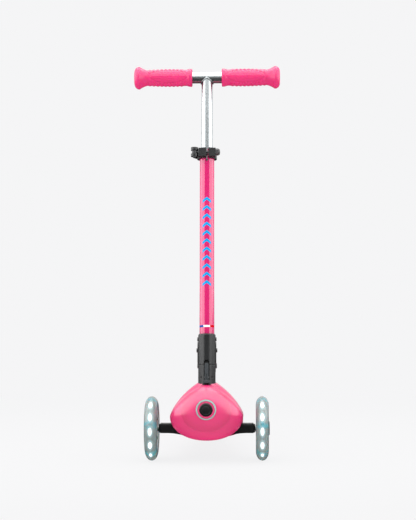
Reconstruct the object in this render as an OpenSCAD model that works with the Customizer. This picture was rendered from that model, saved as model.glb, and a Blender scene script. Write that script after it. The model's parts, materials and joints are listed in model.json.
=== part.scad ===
// Three-wheeled kick scooter for a small child: it leans to steer, and its T-bar folds and telescopes.
// Millimetres. +Z is up and the rider faces -Y. The origin is on the floor, under the middle of the scooter.

/* [Wheels] */
// Diameter of each front wheel
front_wheel_d = 121; // [112:1:145]
// Width of each front tyre
front_tyre_w = 24; // [24:0.5:28]
// Diameter of the rear wheel
rear_wheel_d = 80; // [70:1:96]
// Width of the rear tyre
rear_tyre_w = 24; // [24:0.5:26]
// Distance between the middles of the front wheels
track = 208; // [200:1:250]
// Distance from the front axle to the rear axle
wheelbase = 448; // [380:1:540]

/* [Deck] */
// Width of the nose shell
nose_w = 137; // [124:1:145]
// Height of the top of the nose above the floor
nose_top = 153; // [148:1:160]
// Height of the nose where it is widest
nose_widest = 86; // [84:1:90]
// Lowest point of the nose
nose_bottom = 40; // [38:1:42]
// How far the nose reaches ahead of the front axle
nose_front = 58; // [56:1:60]
// Greatest width of the deck
deck_w = 128; // [120:1:154]
// Height of the deck's top edge above the floor
deck_top = 68; // [66:1:70]
// Height of the deck's underside above the floor
deck_bottom = 40; // [36:1:42]
// Wall of the moulded deck shell
deck_wall = 4.5; // [4:0.1:5.4]
// Thickness of the soft tread pad
pad_t = 2.3; // [1.8:0.1:2.8]
// Diameter of the steering lock button
button_d = 24.4; // [22:0.2:26]

/* [Column] */
// Backward lean of the column, in degrees
lean = 8; // [6:0.5:10]
// Height of the fold seam on the column's middle
seam_z = 178.5; // [176:0.5:184]
// Wall of the hinge base and of the socket, beside the tube
neck_wall = 2.25; // [2:0.05:3]
// Outer diameter of the painted lower tube
tube_d = 28; // [23:0.1:33.6]
// Wall of the painted lower tube
tube_wall = 2; // [1.6:0.1:2.4]
// Length of the painted lower tube
tube_len = 398; // [380:1:480]
// Wall of the plastic sleeve that the stem slides in
sleeve_wall = 1; // [0.8:0.05:1.4]
// Wall of the stem and the crossbar
stem_wall = 1.6; // [1.2:0.1:2]
// How far the crossbar's middle is above the top of the lower tube
bar_rise = 143; // [135:1:180]
// How far apart the height stops are
stop_pitch = 50; // [40:1:50]

/* [Handlebar] */
// Overall width over the grips
bar_w = 282; // [260:1:340]
// Length of each grip
grip_len = 112.5; // [95:0.5:118]
// Diameter of a grip where the hand holds it
grip_d = 32; // [30:0.5:34]
// Diameter of the flared end of a grip
grip_flare_d = 44; // [40:0.5:48]

/* [Brake] */
// Gap between the rear tyre and the mudguard
guard_gap = 7; // [6.5:0.1:9]
// Thickness of the mudguard
guard_t = 4; // [3:0.1:5]
// Width of the mudguard
guard_w = 36; // [32:1:44]

/* [Hidden] */
$fn = 72;
running = 0.05;         // radial clearance of a shaft that turns in its hole
gap = 0.3;              // clearance between pieces that sit side by side
axle_r = 4;             // bore of a 608 bearing
bearing_r = 11;
bearing_w = 7;
front_r = front_wheel_d / 2;
rear_r = rear_wheel_d / 2;
guard_in_r = rear_r + guard_gap;
guard_out_r = guard_in_r + guard_t;
length = front_r + wheelbase + guard_out_r;
front_axle_y = front_r - length / 2;
rear_axle_z = rear_r;

// the nose and deck, with distances measured backwards from the front axle
nose_rim = 24;          // the domed front ends this far ahead of the axle
nose_tip_z = 97;
nose_power = 1.37;      // roundness of the nose's shoulders
nose_fall = 8;          // how much lower the nose is where its domed front starts
slab_power = 5;         // squareness of the deck's edges
waist_w = 74;           // width of the deck ahead of the rear wheel
tail_w = 57;            // width over the rear fork
tail_top = rear_axle_z + 21;
tail_bottom = rear_axle_z - 13;
tail_reach = 17;        // the fork reaches this far behind the rear axle
slot_w = 30;            // gap of the rear fork
slot_front = wheelbase - rear_r - 14;
tail_start = slot_front - 21;
bay_front = -25;        // the steering bay, where the front beam swings
bay_back = 28;
bay_top = max(deck_top + 16, front_r + 23.5);
bulkhead = 34;
pad_front = 138;
pad_back = slot_front - 8;
pad_floor = deck_top - 2.5;
pad_edge = 10;          // rim of shell left beside the pad

// steering: the kingpin's line rises towards the front
king_z = deck_top - 2;
king_tilt = 45;
king_r = 4;
hub_r = 13.5;
hub_half = 14;
boss_r = 10.5;
bush_r = 6;
spring_x = 34;
spring_seat_z = king_z + 37;
beam_depth = 20;
beam_low = king_z - 20;      // the beam's underside and top, in its thick middle
beam_high = king_z + 5.6;
arm_low = front_r - 8.1;        // and out at the wheels
arm_high = front_r + 9.3;
beam_end = track / 2 - 16.5;
button_z = 100.5;

// column
column_y = 8;           // column axis behind the front axle, at the seam
neck_w = tube_d + 2 * neck_wall;
neck_step = 4;          // the neck is an oval, as two circles this far either side of its middle
neck_half = neck_w / 2 + neck_step;
base_bottom = -57;      // the hinge base goes this far down into the nose
base_bolt_z = -49.5;
base_bolt_y = 9;
hinge_y = neck_half - 5.25;
hinge_r = 8;
hinge_pin_r = 3;
lug_half = 7.9;
socket_h = 58.3;
socket_bolt_z = [28, 49];
tube_start = 16;
tube_top = tube_start + tube_len;
bar_z = tube_top + bar_rise;
stem_bottom = tube_top - 128;
sleeve_len = 40;
tube_r = tube_d / 2;
tube_in_r = tube_r - tube_wall;
stem_r = tube_in_r - sleeve_wall;
stop_z = stem_bottom + 24;
stop_r = 3.4;
collar_h = 21;
collar_z = tube_top + 2.5 - collar_h;
collar_r = tube_r + 5;
clamp_y = -(tube_r + 5);
clamp_ear = tube_r + 2;     // the collar's ears reach this far to each side
cam_x = -tube_r - 9.5;
lever_r = tube_r + 10;      // inside of the lever's curved arm
latch_w = 7.4;
latch_gap = 0.9;
latch_t = 5.8;
latch_face = -neck_half - 1.6;
latch_pin_y = -neck_half + 4.45;
latch_pin_z = -24;
latch_back = -neck_half + 7.15;
latch_top = 3.2;
latch_foot_w = 14;
latch_foot_z = -35.4;
latch_foot_y = -neck_half - 8.7;

// rear brake
brake_y = slot_front + 6;
brake_z = rear_axle_z + 14;
brake_barrel_r = 5;

black = [0.07, 0.075, 0.08];
pink = [0.93, 0.13, 0.42];
deep_pink = [0.86, 0.06, 0.34];
steel = [0.62, 0.63, 0.65];
alloy = [0.86, 0.87, 0.88];
clear = [0.72, 0.82, 0.83];

// ---------- helpers ----------

function mix(a, b, t) = a + (b - a) * t;
function ramp(x, a, b) = let (t = max(0, min(1, (x - a) / (b - a)))) t * t * (3 - 2 * t);
function unit(v) = v / norm(v);
function powered(c, n) = sign(c) * pow(abs(c), 2 / n);

// A closed skin over a stack of rings that all have the same number of points
module loft(rings) {
    m = len(rings[0]);
    n = len(rings);
    sides = [for (i = [0:n - 2], j = [0:m - 1])
        let (k = (j + 1) % m, a = i * m + j, b = i * m + k, c = (i + 1) * m + k, d = (i + 1) * m + j)
        each [[a, b, c], [a, c, d]]];
    polyhedron([for (r = rings) each r],
        concat([[for (j = [m - 1:-1:0]) j]], sides, [[for (j = [0:m - 1]) (n - 1) * m + j]]),
        convexity = 6);
}

// A round wire along a list of points. up is a direction that the wire never runs along
module wire(path, r, up = [0, 0, 1], sides = 8) {
    n = len(path);
    loft([for (i = [0:n - 1])
        let (t = unit(path[min(i + 1, n - 1)] - path[max(i - 1, 0)]), u = unit(cross(t, up)),
             v = cross(t, u))
        [for (j = [0:sides - 1]) path[i] + r * (cos(360 * j / sides) * u - sin(360 * j / sides) * v)]]);
}

module coil(r, height, turns, wire_r, steps = 12) {
    wire([for (i = [0:turns * steps])
        [r * cos(360 * i / steps), r * sin(360 * i / steps), height * i / (turns * steps)]], wire_r);
}

module ring(outer, inner, h) {
    difference() {
        cylinder(r = outer, h = h);
        translate([0, 0, -1]) cylinder(r = inner, h = h + 2);
    }
}

// A cylinder along X, from x0 to x1
module along_x(r, x0, x1) {
    translate([x0, 0, 0]) rotate([0, 90, 0]) cylinder(r = r, h = x1 - x0);
}

// A cylinder along Y, from y0 to y1
module along_y(r, y0, y1) {
    translate([0, y0, 0]) rotate([-90, 0, 0]) cylinder(r = r, h = y1 - y0);
}

// A profile drawn in Y and Z, given a width along X
module slab_yz(points, w) {
    rotate([90, 0, 90]) translate([0, 0, -w / 2]) linear_extrude(w) polygon(points);
}

module both_sides() {
    children();
    mirror([1, 0, 0]) children();
}

// places
module from_front_axle() { translate([0, front_axle_y, 0]) children(); }
module on_kingpin() { from_front_axle() translate([0, 0, king_z]) rotate([king_tilt, 0, 0]) children(); }
module on_column() { from_front_axle() translate([0, column_y, seam_z]) rotate([-lean, 0, 0]) children(); }
module at_front_wheel(side) {
    from_front_axle() translate([side * track / 2, 0, front_r]) rotate([0, 90 * side, 0]) children();
}
module at_rear_axle() { from_front_axle() translate([0, wheelbase, rear_axle_z]) children(); }
module at_brake_pin() { from_front_axle() translate([0, brake_y, brake_z]) children(); }

// ---------- deck and nose ----------

tail_end = wheelbase + tail_reach;
function half_w(d) =
    let (front = mix(nose_w, deck_w, ramp(d, 0, 110)) / 2,
         middle = mix(front, waist_w / 2, ramp(d, 100, wheelbase - 50)))
    mix(middle, tail_w / 2, ramp(d, tail_start, wheelbase - 30));
function mid_z(d) =
    mix(mix(nose_widest, (deck_top + deck_bottom) / 2, ramp(d, 5, 125)),
        (tail_top + tail_bottom) / 2, ramp(d, tail_start, wheelbase - 25));
function top_z(d) =
    mix(mix(nose_top - nose_fall * ramp(-d, 4, nose_rim), deck_top, pow(ramp(d, 24, 136), 0.75)),
        tail_top, ramp(d, tail_start, wheelbase - 35));
function bottom_z(d) =
    mix(mix(nose_bottom, deck_bottom, ramp(d, 0, 60)), tail_bottom,
        ramp(d, tail_start + 15, wheelbase - 15));
function top_power(d) = mix(nose_power, slab_power, ramp(d, 55, 136));
function bottom_power(d) = mix(2.1, slab_power, ramp(d, -10, 70));
function cap(s) = pow(1 - pow(1 - max(0.0008, min(1, s)), 2.2), 1 / 2.2);
function swell(d) = min(cap((d + nose_front) / (nose_front - nose_rim)), cap((tail_end - d) / 12));

// The outline of the deck's cross-section at distance d behind the front axle, inset by a wall
function section(d, inset, points, d_shape) =
    let (s = swell(d_shape), hw = half_w(d) - inset, zm = mid_z(d), front = d < wheelbase / 2,
         z0 = front ? mix(nose_tip_z, zm, s) : zm,
         up = top_z(d) - zm - inset, down = zm - bottom_z(d) - inset)
    [for (i = [0:points - 1])
        let (a = 360 * i / points, n = sin(a) >= 0 ? top_power(d) : bottom_power(d))
        [s * hw * powered(cos(a), n), z0 + s * (sin(a) >= 0 ? up : down) * powered(sin(a), n)]];

module deck_body(stations, inset, points) {
    from_front_axle() loft([for (d = stations)
        [for (p = section(max(d, -nose_rim), inset, points, d)) [p[0], d, p[1]]]]);
}

outer_stations = concat(
    [for (i = [0:8]) -nose_front + (nose_front - nose_rim) * pow(i / 9, 2)],
    [for (d = [-nose_rim:8:152]) d],
    [for (i = [1:9]) mix(152, tail_start, i / 9)],
    [for (i = [1:6]) mix(tail_start, tail_end - 12, i / 6)],
    [for (i = [1:5]) tail_end - 12 * pow(1 - i / 5, 2)]);

// The cavity keeps a wall's distance from the domed front, so it starts behind it
module deck_cavity() {
    front = -nose_front + deck_wall;
    shrink = (nose_front - nose_rim - deck_wall) / (nose_front - nose_rim);
    inner = concat(
        [for (i = [0:5]) [-nose_rim - (nose_front - nose_rim) * (1 - pow(i / 6, 2)), shrink]],
        [for (d = [-nose_rim:12:156]) [d, 1]],
        [for (i = [1:7]) [mix(156, tail_start - 2, i / 7), 1]],
        [[slot_front - 7, 1]]);
    from_front_axle() loft([for (s = inner)
        [for (p = section(max(s[0], -nose_rim), deck_wall, 28, s[0]))
            [p[0], s[0] < -nose_rim ? -nose_rim + (s[0] + nose_rim) * s[1] : s[0], p[1]]]]);
}

// Outline of the deck seen from above, a margin inside its edge, with rounded ends
function plan(d0, d1, margin, steps = 24) =
    let (side = [for (i = [0:steps])
        let (t = i / steps, d = mix(d0, d1, (1 - cos(180 * t)) / 2), e = min(d - d0, d1 - d), r = 16)
        [(half_w(d) - margin) - (e < r ? r - sqrt(r * r - (r - e) * (r - e)) : 0), d]])
    concat(side, [for (i = [steps:-1:0]) [-side[i][0], side[i][1]]]);

module cross_rib(d, t) {
    points = [for (p = section(d, deck_wall / 2, 28, d)) [p[0], max(p[1], bottom_z(d) + 1.5)]];
    from_front_axle() translate([0, d + t / 2, 0]) rotate([90, 0, 0]) linear_extrude(t) polygon(points);
}

module neck_outline(grow = 0) {
    for (s = [-1, 1]) translate([0, s * neck_step]) circle(r = neck_w / 2 + grow);
    square([neck_w + 2 * grow, 2 * neck_step], center = true);
}

module deck_frame() {
    web_top = 128;
    cross_rib(bulkhead, 4);
    cross_rib(slot_front - 6, 5);
    for (d = [84:50:slot_front - 30]) cross_rib(d, 3);
    from_front_axle() {
        for (x = [-22, 0, 22]) translate([x - 1.5, bulkhead, deck_bottom + 2])
            cube([3, (slot_front - bulkhead) * (x == 0 ? 0.98 : 0.75), deck_top - deck_bottom - 5]);
        // webs that hold the kingpin's two bosses
        difference() {
            slab_yz([[-19.8, king_z + 19.8], [0, king_z + 21.2], [14, king_z + 38], [14, web_top],
                     [-15, web_top], [-15, king_z + 26]], 12);
            translate([0, 0, king_z]) rotate([king_tilt, 0, 0])
                translate([0, 0, hub_half + gap + 15.8]) cylinder(r = 9, h = 12);
        }
        difference() {
            slab_yz([[14, king_z - 22], [bulkhead, king_z - 22], [bulkhead, king_z + 12],
                     [21.6, king_z + 0.3], [14, king_z - 10]], 14);
            translate([0, 0, king_z]) rotate([king_tilt, 0, 0])
                translate([0, 0, -50]) cylinder(r = 9, h = 50 - hub_half - gap - 9.9);
        }
        // shelves that the steering springs push against
        both_sides() translate([spring_x - 9, -9, spring_seat_z]) cube([18, bulkhead + 9, 3]);
        // tube that guides the lock button, closed behind but for the plunger's hole
        translate([0, 0, button_z]) along_y(button_d / 2 + 3.4, -nose_front + 3, -31);
    }
    on_kingpin() for (s = [0, 1]) mirror([0, 0, s])
        translate([0, 0, hub_half + gap]) cylinder(r = boss_r, h = s == 0 ? 16 : 10);
    // pocket that the hinge base stands in
    on_column() translate([0, 0, base_bottom - 5]) linear_extrude(20) neck_outline(3);
}

module deck_shell() color(pink) difference() {
    union() {
        difference() {
            deck_body(outer_stations, 0, 40);
            deck_cavity();
            // open underside and steering bay
            from_front_axle() {
                translate([0, 0, -10]) linear_extrude(deck_bottom + 17)
                    polygon(plan(bulkhead + 2, slot_front - 9, 8));
                translate([-nose_w / 2 - 5, bay_front, 0])
                    cube([nose_w + 10, bay_back - bay_front, bay_top]);
            }
        }
        deck_frame();
    }
    from_front_axle() {
        // rear fork, and the tread pad's recess
        translate([-slot_w / 2, slot_front, 0]) cube([slot_w, wheelbase, 120]);
        translate([0, 0, pad_floor]) linear_extrude(30) polygon(plan(pad_front, pad_back, pad_edge));
        // button bore, and its ring's groove
        translate([0, 0, button_z]) {
            along_y(button_d / 2 + gap, -nose_front - 10, -34);
            along_y(4.3, -40, -20);
            difference() {
                along_y(19, -nose_front - 10, -nose_front + 3.5);
                along_y(16, -nose_front - 11, -nose_front + 5);
            }
        }
    }
    on_kingpin() translate([0, 0, -40]) cylinder(r = king_r + running, h = 80);
    on_column() {
        translate([0, 0, base_bottom - gap]) linear_extrude(90) neck_outline(gap);
        // notch that the latch's foot is pressed down into
        translate([-latch_foot_w / 2 - 0.8, latch_foot_y - 14, latch_foot_z - 3])
            cube([latch_foot_w + 1.6, 14 - latch_foot_y - neck_half + 4.5, 40]);
        for (y = [-1, 1]) translate([0, y * base_bolt_y, base_bolt_z]) {
            along_x(3.05, -30, 30);
            both_sides() along_x(4.8, neck_w / 2 + 3, neck_w / 2 + 5.5);
        }
    }
    at_rear_axle() along_x(axle_r + running, -60, 60);
    at_brake_pin() along_x(2.55, -60, 60);
}

module tread_pad() color(deep_pink) from_front_axle() translate([0, 0, pad_floor]) linear_extrude(pad_t)
    polygon(plan(pad_front + gap, pad_back - gap, pad_edge + gap));

module button_ring() color(steel) from_front_axle() translate([0, 0, button_z]) difference() {
    along_y(18.9, -nose_front + 0.4, -nose_front + 3.4);
    along_y(16.1, -nose_front - 2, -nose_front + 5);
}

// ---------- fold hinge ----------

// Room for the latch in the front of the neck, between two heights
module latch_slot(z0, z1) {
    translate([-latch_w / 2 - latch_gap, -neck_half - 5, z0])
        cube([latch_w + 2 * latch_gap, 5 + neck_half + latch_back, z1 - z0]);
}

module hinge_base() color(black) on_column() difference() {
    union() {
        translate([0, 0, base_bottom]) linear_extrude(-base_bottom - gap) neck_outline();
        both_sides() translate([0, hinge_y, 0]) along_x(hinge_r, lug_half + gap, neck_w / 2);
        translate([-neck_w / 2, hinge_y - 2, -12]) cube([neck_w, hinge_r, 8]);
    }
    translate([0, hinge_y, 0]) {
        along_x(hinge_pin_r + running, -30, 30);
        along_x(hinge_r + 0.4, -lug_half - gap, lug_half + gap);
    }
    latch_slot(latch_foot_z - 3, 14);
    translate([0, latch_pin_y, latch_pin_z]) along_x(1.55, -30, 30);
    translate([0, 0, -6]) along_y(3, latch_back - 2, -5);
    for (y = [-1, 1]) translate([0, y * base_bolt_y, base_bolt_z]) along_x(3.05, -30, 30);
}

module base_bolts() color(steel) on_column() for (s = [-1, 1]) translate([0, s * base_bolt_y, base_bolt_z]) {
    along_x(3, -neck_w / 2 - 5, neck_w / 2 + 5);
    both_sides() along_x(4.5, neck_w / 2 + 3.1, neck_w / 2 + 5.2);
}

module hinge_pin() color(steel) on_column() translate([0, hinge_y, 0]) {
    along_x(hinge_pin_r, -neck_w / 2 - 1.5, neck_w / 2 + 1.5);
    both_sides() along_x(5, neck_w / 2 + gap, neck_w / 2 + 2.3);
}

module latch_pin() color(steel) on_column()
    translate([0, latch_pin_y, latch_pin_z]) along_x(1.5, -neck_w * 0.28, neck_w * 0.28);

module latch_spring() color(steel) on_column() translate([0, -5.5, -6]) rotate([90, 0, 0])
    coil(2, -5.5 - 0.5 - (latch_face + latch_t), 6, 0.4, 8);

// The latch is a lever on the front of the neck. It turns on its pin near its lower end, and it lets go
// of the socket when its foot is pressed down
module fold_latch() color(black) on_column() difference() {
    round_r = latch_w / 2;
    union() {
        translate([-latch_w / 2, latch_face, latch_foot_z + 1])
            cube([latch_w, latch_t, latch_top - round_r - latch_foot_z - 1]);
        translate([0, latch_face, latch_top - round_r]) along_y(round_r, 0, latch_t);
        translate([0, latch_pin_y, latch_pin_z]) along_x(2.4, -latch_w / 2, latch_w / 2);
        translate([-latch_foot_w / 2, latch_foot_y, latch_foot_z]) cube([latch_foot_w, 5.8, 5.2]);
        translate([-latch_w / 2, latch_foot_y + 1, latch_foot_z])
            cube([latch_w, latch_face - latch_foot_y, 5.2]);
    }
    translate([0, latch_pin_y, latch_pin_z]) along_x(1.55, -30, 30);
    // groove in the lower half of its face
    translate([-1.1, latch_face - 1, latch_foot_z + 6.5]) cube([2.2, 2, 11]);
}

// ---------- column ----------

module tube_socket() color(black) on_column() difference() {
    union() {
        translate([0, 0, gap]) linear_extrude(socket_h - gap - 1.5) neck_outline();
        translate([0, 0, socket_h - 1.5]) linear_extrude(1.5) neck_outline(-0.8);
        translate([0, hinge_y, 0]) along_x(hinge_r, -lug_half, lug_half);
        // raised pads on both sides
        both_sides() for (z = [9, 38]) translate([0, 0, z]) along_x(6, neck_w / 2 - 4, neck_w / 2 + 1.5);
        both_sides() translate([neck_w / 2 - 4, -6, 9]) cube([5.5, 12, 29]);
    }
    translate([0, hinge_y, 0]) {
        along_x(hinge_pin_r + running, -30, 30);
        both_sides() along_x(hinge_r + 0.4, lug_half + gap, 30);
    }
    translate([0, 0, tube_start]) cylinder(r = tube_r + 0.02, h = socket_h);
    latch_slot(-5, 4);
    translate([0, -neck_half - 5, 4]) along_y(latch_w / 2 + latch_gap, 0, 5 + neck_half + latch_back);
    for (z = socket_bolt_z) translate([0, 0, z]) along_x(2.55, -30, 30);
}

module socket_bolts() color(steel) on_column() for (i = [0, 1]) translate([0, 0, socket_bolt_z[i]]) {
    pad = i == 0 ? 1.5 : 0;
    along_x(2.5, -neck_w / 2 - 2, neck_w / 2 + 2);
    both_sides() along_x(4, neck_w / 2 + pad, neck_w / 2 + pad + 2);
}

module lower_tube() color(pink) on_column() difference() {
    translate([0, 0, tube_start]) cylinder(r = tube_r, h = tube_len);
    translate([0, 0, tube_start - 1]) cylinder(r = tube_in_r, h = tube_len + 2);
    for (z = socket_bolt_z) translate([0, 0, z]) along_x(2.55, -30, 30);
    // slit for the clamp with its round end, and the three height stops behind
    translate([-1.2, -tube_r - 2, collar_z - 3]) cube([2.4, 6, 40]);
    translate([0, 0, collar_z - 3]) along_y(2.4, -tube_r - 2, -5);
    for (i = [0:2]) translate([0, 0, stop_z - i * stop_pitch]) along_y(stop_r + 0.2, 5, tube_r + 2);
}

module guide_sleeve() color([0.25, 0.26, 0.27]) on_column() difference() {
    translate([0, 0, tube_top - sleeve_len]) ring(tube_in_r - 0.03, stem_r + running, sleeve_len);
    translate([-1.2, -tube_r - 2, collar_z - 3]) cube([2.4, 6, 40]);
}

module clamp_collar() color(black) on_column() translate([0, 0, collar_z]) difference() {
    union() {
        cylinder(r = collar_r, h = collar_h - 3);
        translate([0, 0, collar_h - 3]) cylinder(r1 = collar_r, r2 = collar_r - 2.5, h = 3);
        translate([-clamp_ear, clamp_y - 6, 1.5]) cube([2 * clamp_ear + 1, 14, collar_h - 4.5]);
    }
    translate([0, 0, -1]) cylinder(r = tube_r + 0.05, h = collar_h - 2.5 + 1);
    cylinder(r = stem_r + 0.6, h = 40);
    translate([-1.4, clamp_y - 12, -1]) cube([4.8, 24, 40]);
    translate([0, clamp_y - 0.5, collar_h / 2]) along_x(2.6, -30, 30);
}

module clamp_bolt() color(black) on_column() translate([0, clamp_y - 0.5, collar_z + collar_h / 2])
    difference() {
        union() {
            along_x(2.5, cam_x, clamp_ear + 9.5);
            translate([cam_x, 0, -2.9]) cylinder(r = 5, h = 5.8);
        }
        translate([cam_x, 0, -10]) cylinder(r = 2.5, h = 20);
    }

module clamp_nut() color(black) on_column() translate([0, clamp_y - 0.5, collar_z + collar_h / 2])
    difference() {
        union() {
            translate([clamp_ear + 1, 0, 0]) rotate([0, 90, 0]) cylinder(r = 7, h = 5.5, $fn = 6);
            translate([clamp_ear + 6.5, 0, 0]) rotate([0, 90, 0]) cylinder(r1 = 6, r2 = 5, h = 2.4);
        }
        along_x(2.55, 10, 40);
    }

module cam_pin() color(steel) on_column() translate([cam_x, clamp_y - 0.5, collar_z + collar_h / 2 - 9.4])
    cylinder(r = 2.45, h = 18.8);

// The lever grips the cam pin with two cheeks and lies round the collar's left side
module clamp_lever() color(black) on_column() translate([0, 0, collar_z + collar_h / 2]) difference() {
    union() {
        translate([cam_x, clamp_y - 0.5, -9]) cylinder(r = 6.8, h = 18);
        intersection() {
            translate([0, -3, -6]) ring(lever_r + 4, lever_r, 12);
            translate([-60, clamp_y + 1, -10]) cube([60 - 3, lever_r - clamp_y - 3, 20]);
        }
        translate([-6, lever_r - 2, -6]) cylinder(r = 2.9, h = 12);
    }
    translate([cam_x, clamp_y - 0.5, -20]) cylinder(r = 2.5, h = 40);
    translate([cam_x - 9, clamp_y - 9, -3.2]) cube([26, 14.5, 6.4]);
}

// ---------- handlebar ----------

module stem_tube() color(alloy) on_column() difference() {
    translate([0, 0, stem_bottom]) cylinder(r = stem_r, h = bar_z - stem_bottom);
    translate([0, 0, stem_bottom - 1]) cylinder(r = stem_r - stem_wall, h = bar_z - stem_bottom + 2);
    translate([0, 0, bar_z]) along_x(stem_r, -30, 30);
    translate([0, 0, stop_z]) along_y(stop_r, 5, 20);
}

module crossbar() color(alloy) on_column() translate([0, 0, bar_z]) rotate([0, 90, 0])
    translate([0, 0, -bar_w / 2 + 10]) ring(stem_r, stem_r - stem_wall, bar_w - 20);

// Half of the grip's outline: distance along the bar from the inner end, and radius
grip_outline = let (r = grip_d / 2, f = grip_flare_d / 2, l = grip_len) concat(
    [[0, stem_r], [0, r], [1, r + 1.4], [3, r + 1.4]],
    [for (t = [0:0.25:1]) [mix(5, 14, t), r + 1.4 - 1.7 * ramp(t, 0, 1)]],
    [for (t = [0.1:0.1:1]) [mix(14, l - 28, t), r - 0.3 + 0.9 * sin(180 * t) - 0.9 * t]],
    [for (t = [0.125:0.125:1]) [mix(l - 28, l - 10, t), mix(r - 1.2, f, pow(t, 1.7))]],
    [for (a = [15:15:90]) [l - 10 + 10 * sin(a), mix(f * 0.42, f, pow(cos(a), 0.8))]],
    [[l, 0], [l - 9.9, 0], [l - 9.9, stem_r]]);

module grip() on_column() translate([bar_w / 2 - grip_len, 0, bar_z]) rotate([0, 90, 0])
    rotate_extrude() polygon([for (p = grip_outline) [p[1], p[0]]]);

module grip_right() color(pink) grip();
module grip_left() color(pink) mirror([1, 0, 0]) grip();

// Spring clip inside the stem, with the button that snaps into the tube's stops
module height_catch() color(steel) on_column() translate([0, 0, stop_z]) {
    along_y(stop_r - 0.2, 5.5, tube_r + 1.2);
    translate([-3, 4.6, -5]) cube([6, 0.9, 32]);
    translate([-3, -stem_r + stem_wall + 0.8, -5]) cube([6, 0.9, 32]);
    translate([-3, -stem_r + stem_wall + 0.8, 26.2]) cube([6, 4.6 + 0.9 + stem_r - stem_wall - 0.8, 0.9]);
}

module stem_plug() color(black) on_column() translate([0, 0, stem_bottom - 2]) {
    cylinder(r = stem_r, h = 1.9);
    ring(stem_r - stem_wall - 0.03, stem_r - stem_wall - 2, 12);
}

// ---------- steering ----------

spring_low_z = max(beam_high, beam_top(spring_x + 7.1)) + 1.2;
module steer_spring() from_front_axle() translate([spring_x, 0, spring_low_z])
    coil(6, spring_seat_z - spring_low_z - 1.2, 5, 1.1);
module steer_spring_right() color(steel) steer_spring();
module steer_spring_left() color(steel) mirror([1, 0, 0]) steer_spring();

module kingpin() color(steel) on_kingpin() {
    translate([0, 0, -36]) cylinder(r = king_r, h = 36 + 31);
    translate([0, 0, 30.4]) cylinder(r = 6.5, h = 4.5, $fn = 6);
}

module kingpin_nut() color(steel) on_kingpin() translate([0, 0, -24.4 - 5.6]) difference() {
    union() {
        cylinder(r = 6.5, h = 4, $fn = 6);
        translate([0, 0, 4]) cylinder(r = 7.5, h = 1.5);
    }
    translate([0, 0, -1]) cylinder(r = king_r + 0.02, h = 10);
}

module kingpin_bushes() color([0.80, 0.78, 0.70]) on_kingpin() for (s = [0, 1]) mirror([0, 0, s]) {
    translate([0, 0, 2]) ring(bush_r - 0.03, king_r + running, hub_half - 2 - 1.5);
    translate([0, 0, hub_half - 1.5]) ring(bush_r + 3, king_r + running, 1.4);
}

// Height of the beam's top between its middle and the wheels
function beam_top(x) = mix(beam_high, arm_high, ramp(x, 24, 72));

// Half of the beam seen from the front: a middle for the hub, and an arm that thins towards the wheel
beam_half = concat(
    [[0, beam_low + 1], [16, beam_low + 0.5]],
    [for (t = [0:0.2:1]) [mix(24, 72, t), mix(beam_low, arm_low, ramp(t, 0, 1))]],
    [[beam_end, arm_low], [beam_end, arm_high]],
    [for (x = [72:-9.6:24]) [x, beam_top(x)]],
    [[0, beam_high]]);

module steer_beam() color(black) difference() {
    union() {
        from_front_axle() both_sides() {
            translate([0, beam_depth / 2, 0]) rotate([90, 0, 0])
                linear_extrude(beam_depth) polygon(beam_half);
            translate([0, 0, front_r]) along_x(8.2, beam_end - 1, beam_end + 3);
        }
        on_kingpin() translate([0, 0, -hub_half]) cylinder(r = hub_r, h = 2 * hub_half);
    }
    on_kingpin() {
        translate([0, 0, -40]) cylinder(r = bush_r, h = 80);
        for (s = [0, 1]) mirror([0, 0, s]) {
            translate([0, 0, hub_half - 1.5]) cylinder(r = bush_r + 3, h = 30);
            translate([0, 0, hub_half]) cylinder(r = boss_r + 4, h = 30);
        }
    }
    from_front_axle() both_sides() translate([0, 0, front_r]) along_x(axle_r, track / 2 - 49, track);
}

// ---------- front wheels, drawn with the outer side up ----------

wheel_sides = 96;
core_r = front_r - 18.5;
light_count = 14;
light_w = 6.8;
light_l = 14.4;

module wheel_tyre(r, seat, w) rotate_extrude($fn = wheel_sides) polygon(concat(
    [[seat, -w / 2 + 1], [seat + 0.8, -w / 2]],
    [for (a = [-90:7.5:90]) [seat + 1.5 + (r - seat - 1.5) * cos(a), w / 2 * sin(a)]],
    [[seat + 0.8, w / 2], [seat, w / 2 - 1]]));

module bearing_seat(z) {
    for (s = [0, 1]) mirror([0, 0, s]) translate([0, 0, z]) cylinder(r = bearing_r + 0.02, h = 30);
    translate([0, 0, -5]) cylinder(r = 8.5, h = 10);
}

// Windows in the rim for the lights, as rounded slots that run round it. One faces straight ahead
module windows(w, l, r0, r1) {
    for (a = [1:light_count]) rotate(270 + 360 * a / light_count) {
        translate([r0, -(l - w) / 2, -w / 2]) cube([r1 - r0, l - w, w]);
        for (s = [-1, 1]) translate([0, s * (l - w) / 2, 0]) along_x(w / 2, r0, r1);
    }
}

module front_core() difference() {
    union() {
        translate([0, 0, -10.5]) ring(core_r, core_r - 4.5, 21, $fn = wheel_sides);
        translate([0, 0, -10.5]) cylinder(r = 15, h = 21);
        translate([0, 0, -1.2]) cylinder(r = core_r - 2, h = 2.4);
        for (a = [15:60:315]) rotate(a) translate([0, -3, -6]) cube([core_r - 2, 6, 12]);
    }
    bearing_seat(1.6);
    for (a = [45:60:345]) rotate(a) translate([core_r * 0.61, 0, -5]) cylinder(r = 6.5, h = 10);
    windows(light_w + 0.2, light_l + 0.2, core_r - 6, core_r + 2);
}

module lights() intersection() {
    windows(light_w, light_l, core_r - 4.4, core_r + 1);
    cylinder(r = core_r - 0.1, h = front_tyre_w, center = true);
}

module generator() difference() {
    translate([0, 0, -10.4]) ring(21, 15.1, 4.2);
    for (a = [0:60:300]) rotate(a) translate([18, 0, -12]) cylinder(r = 1.2, h = 2.5);
}

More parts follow.
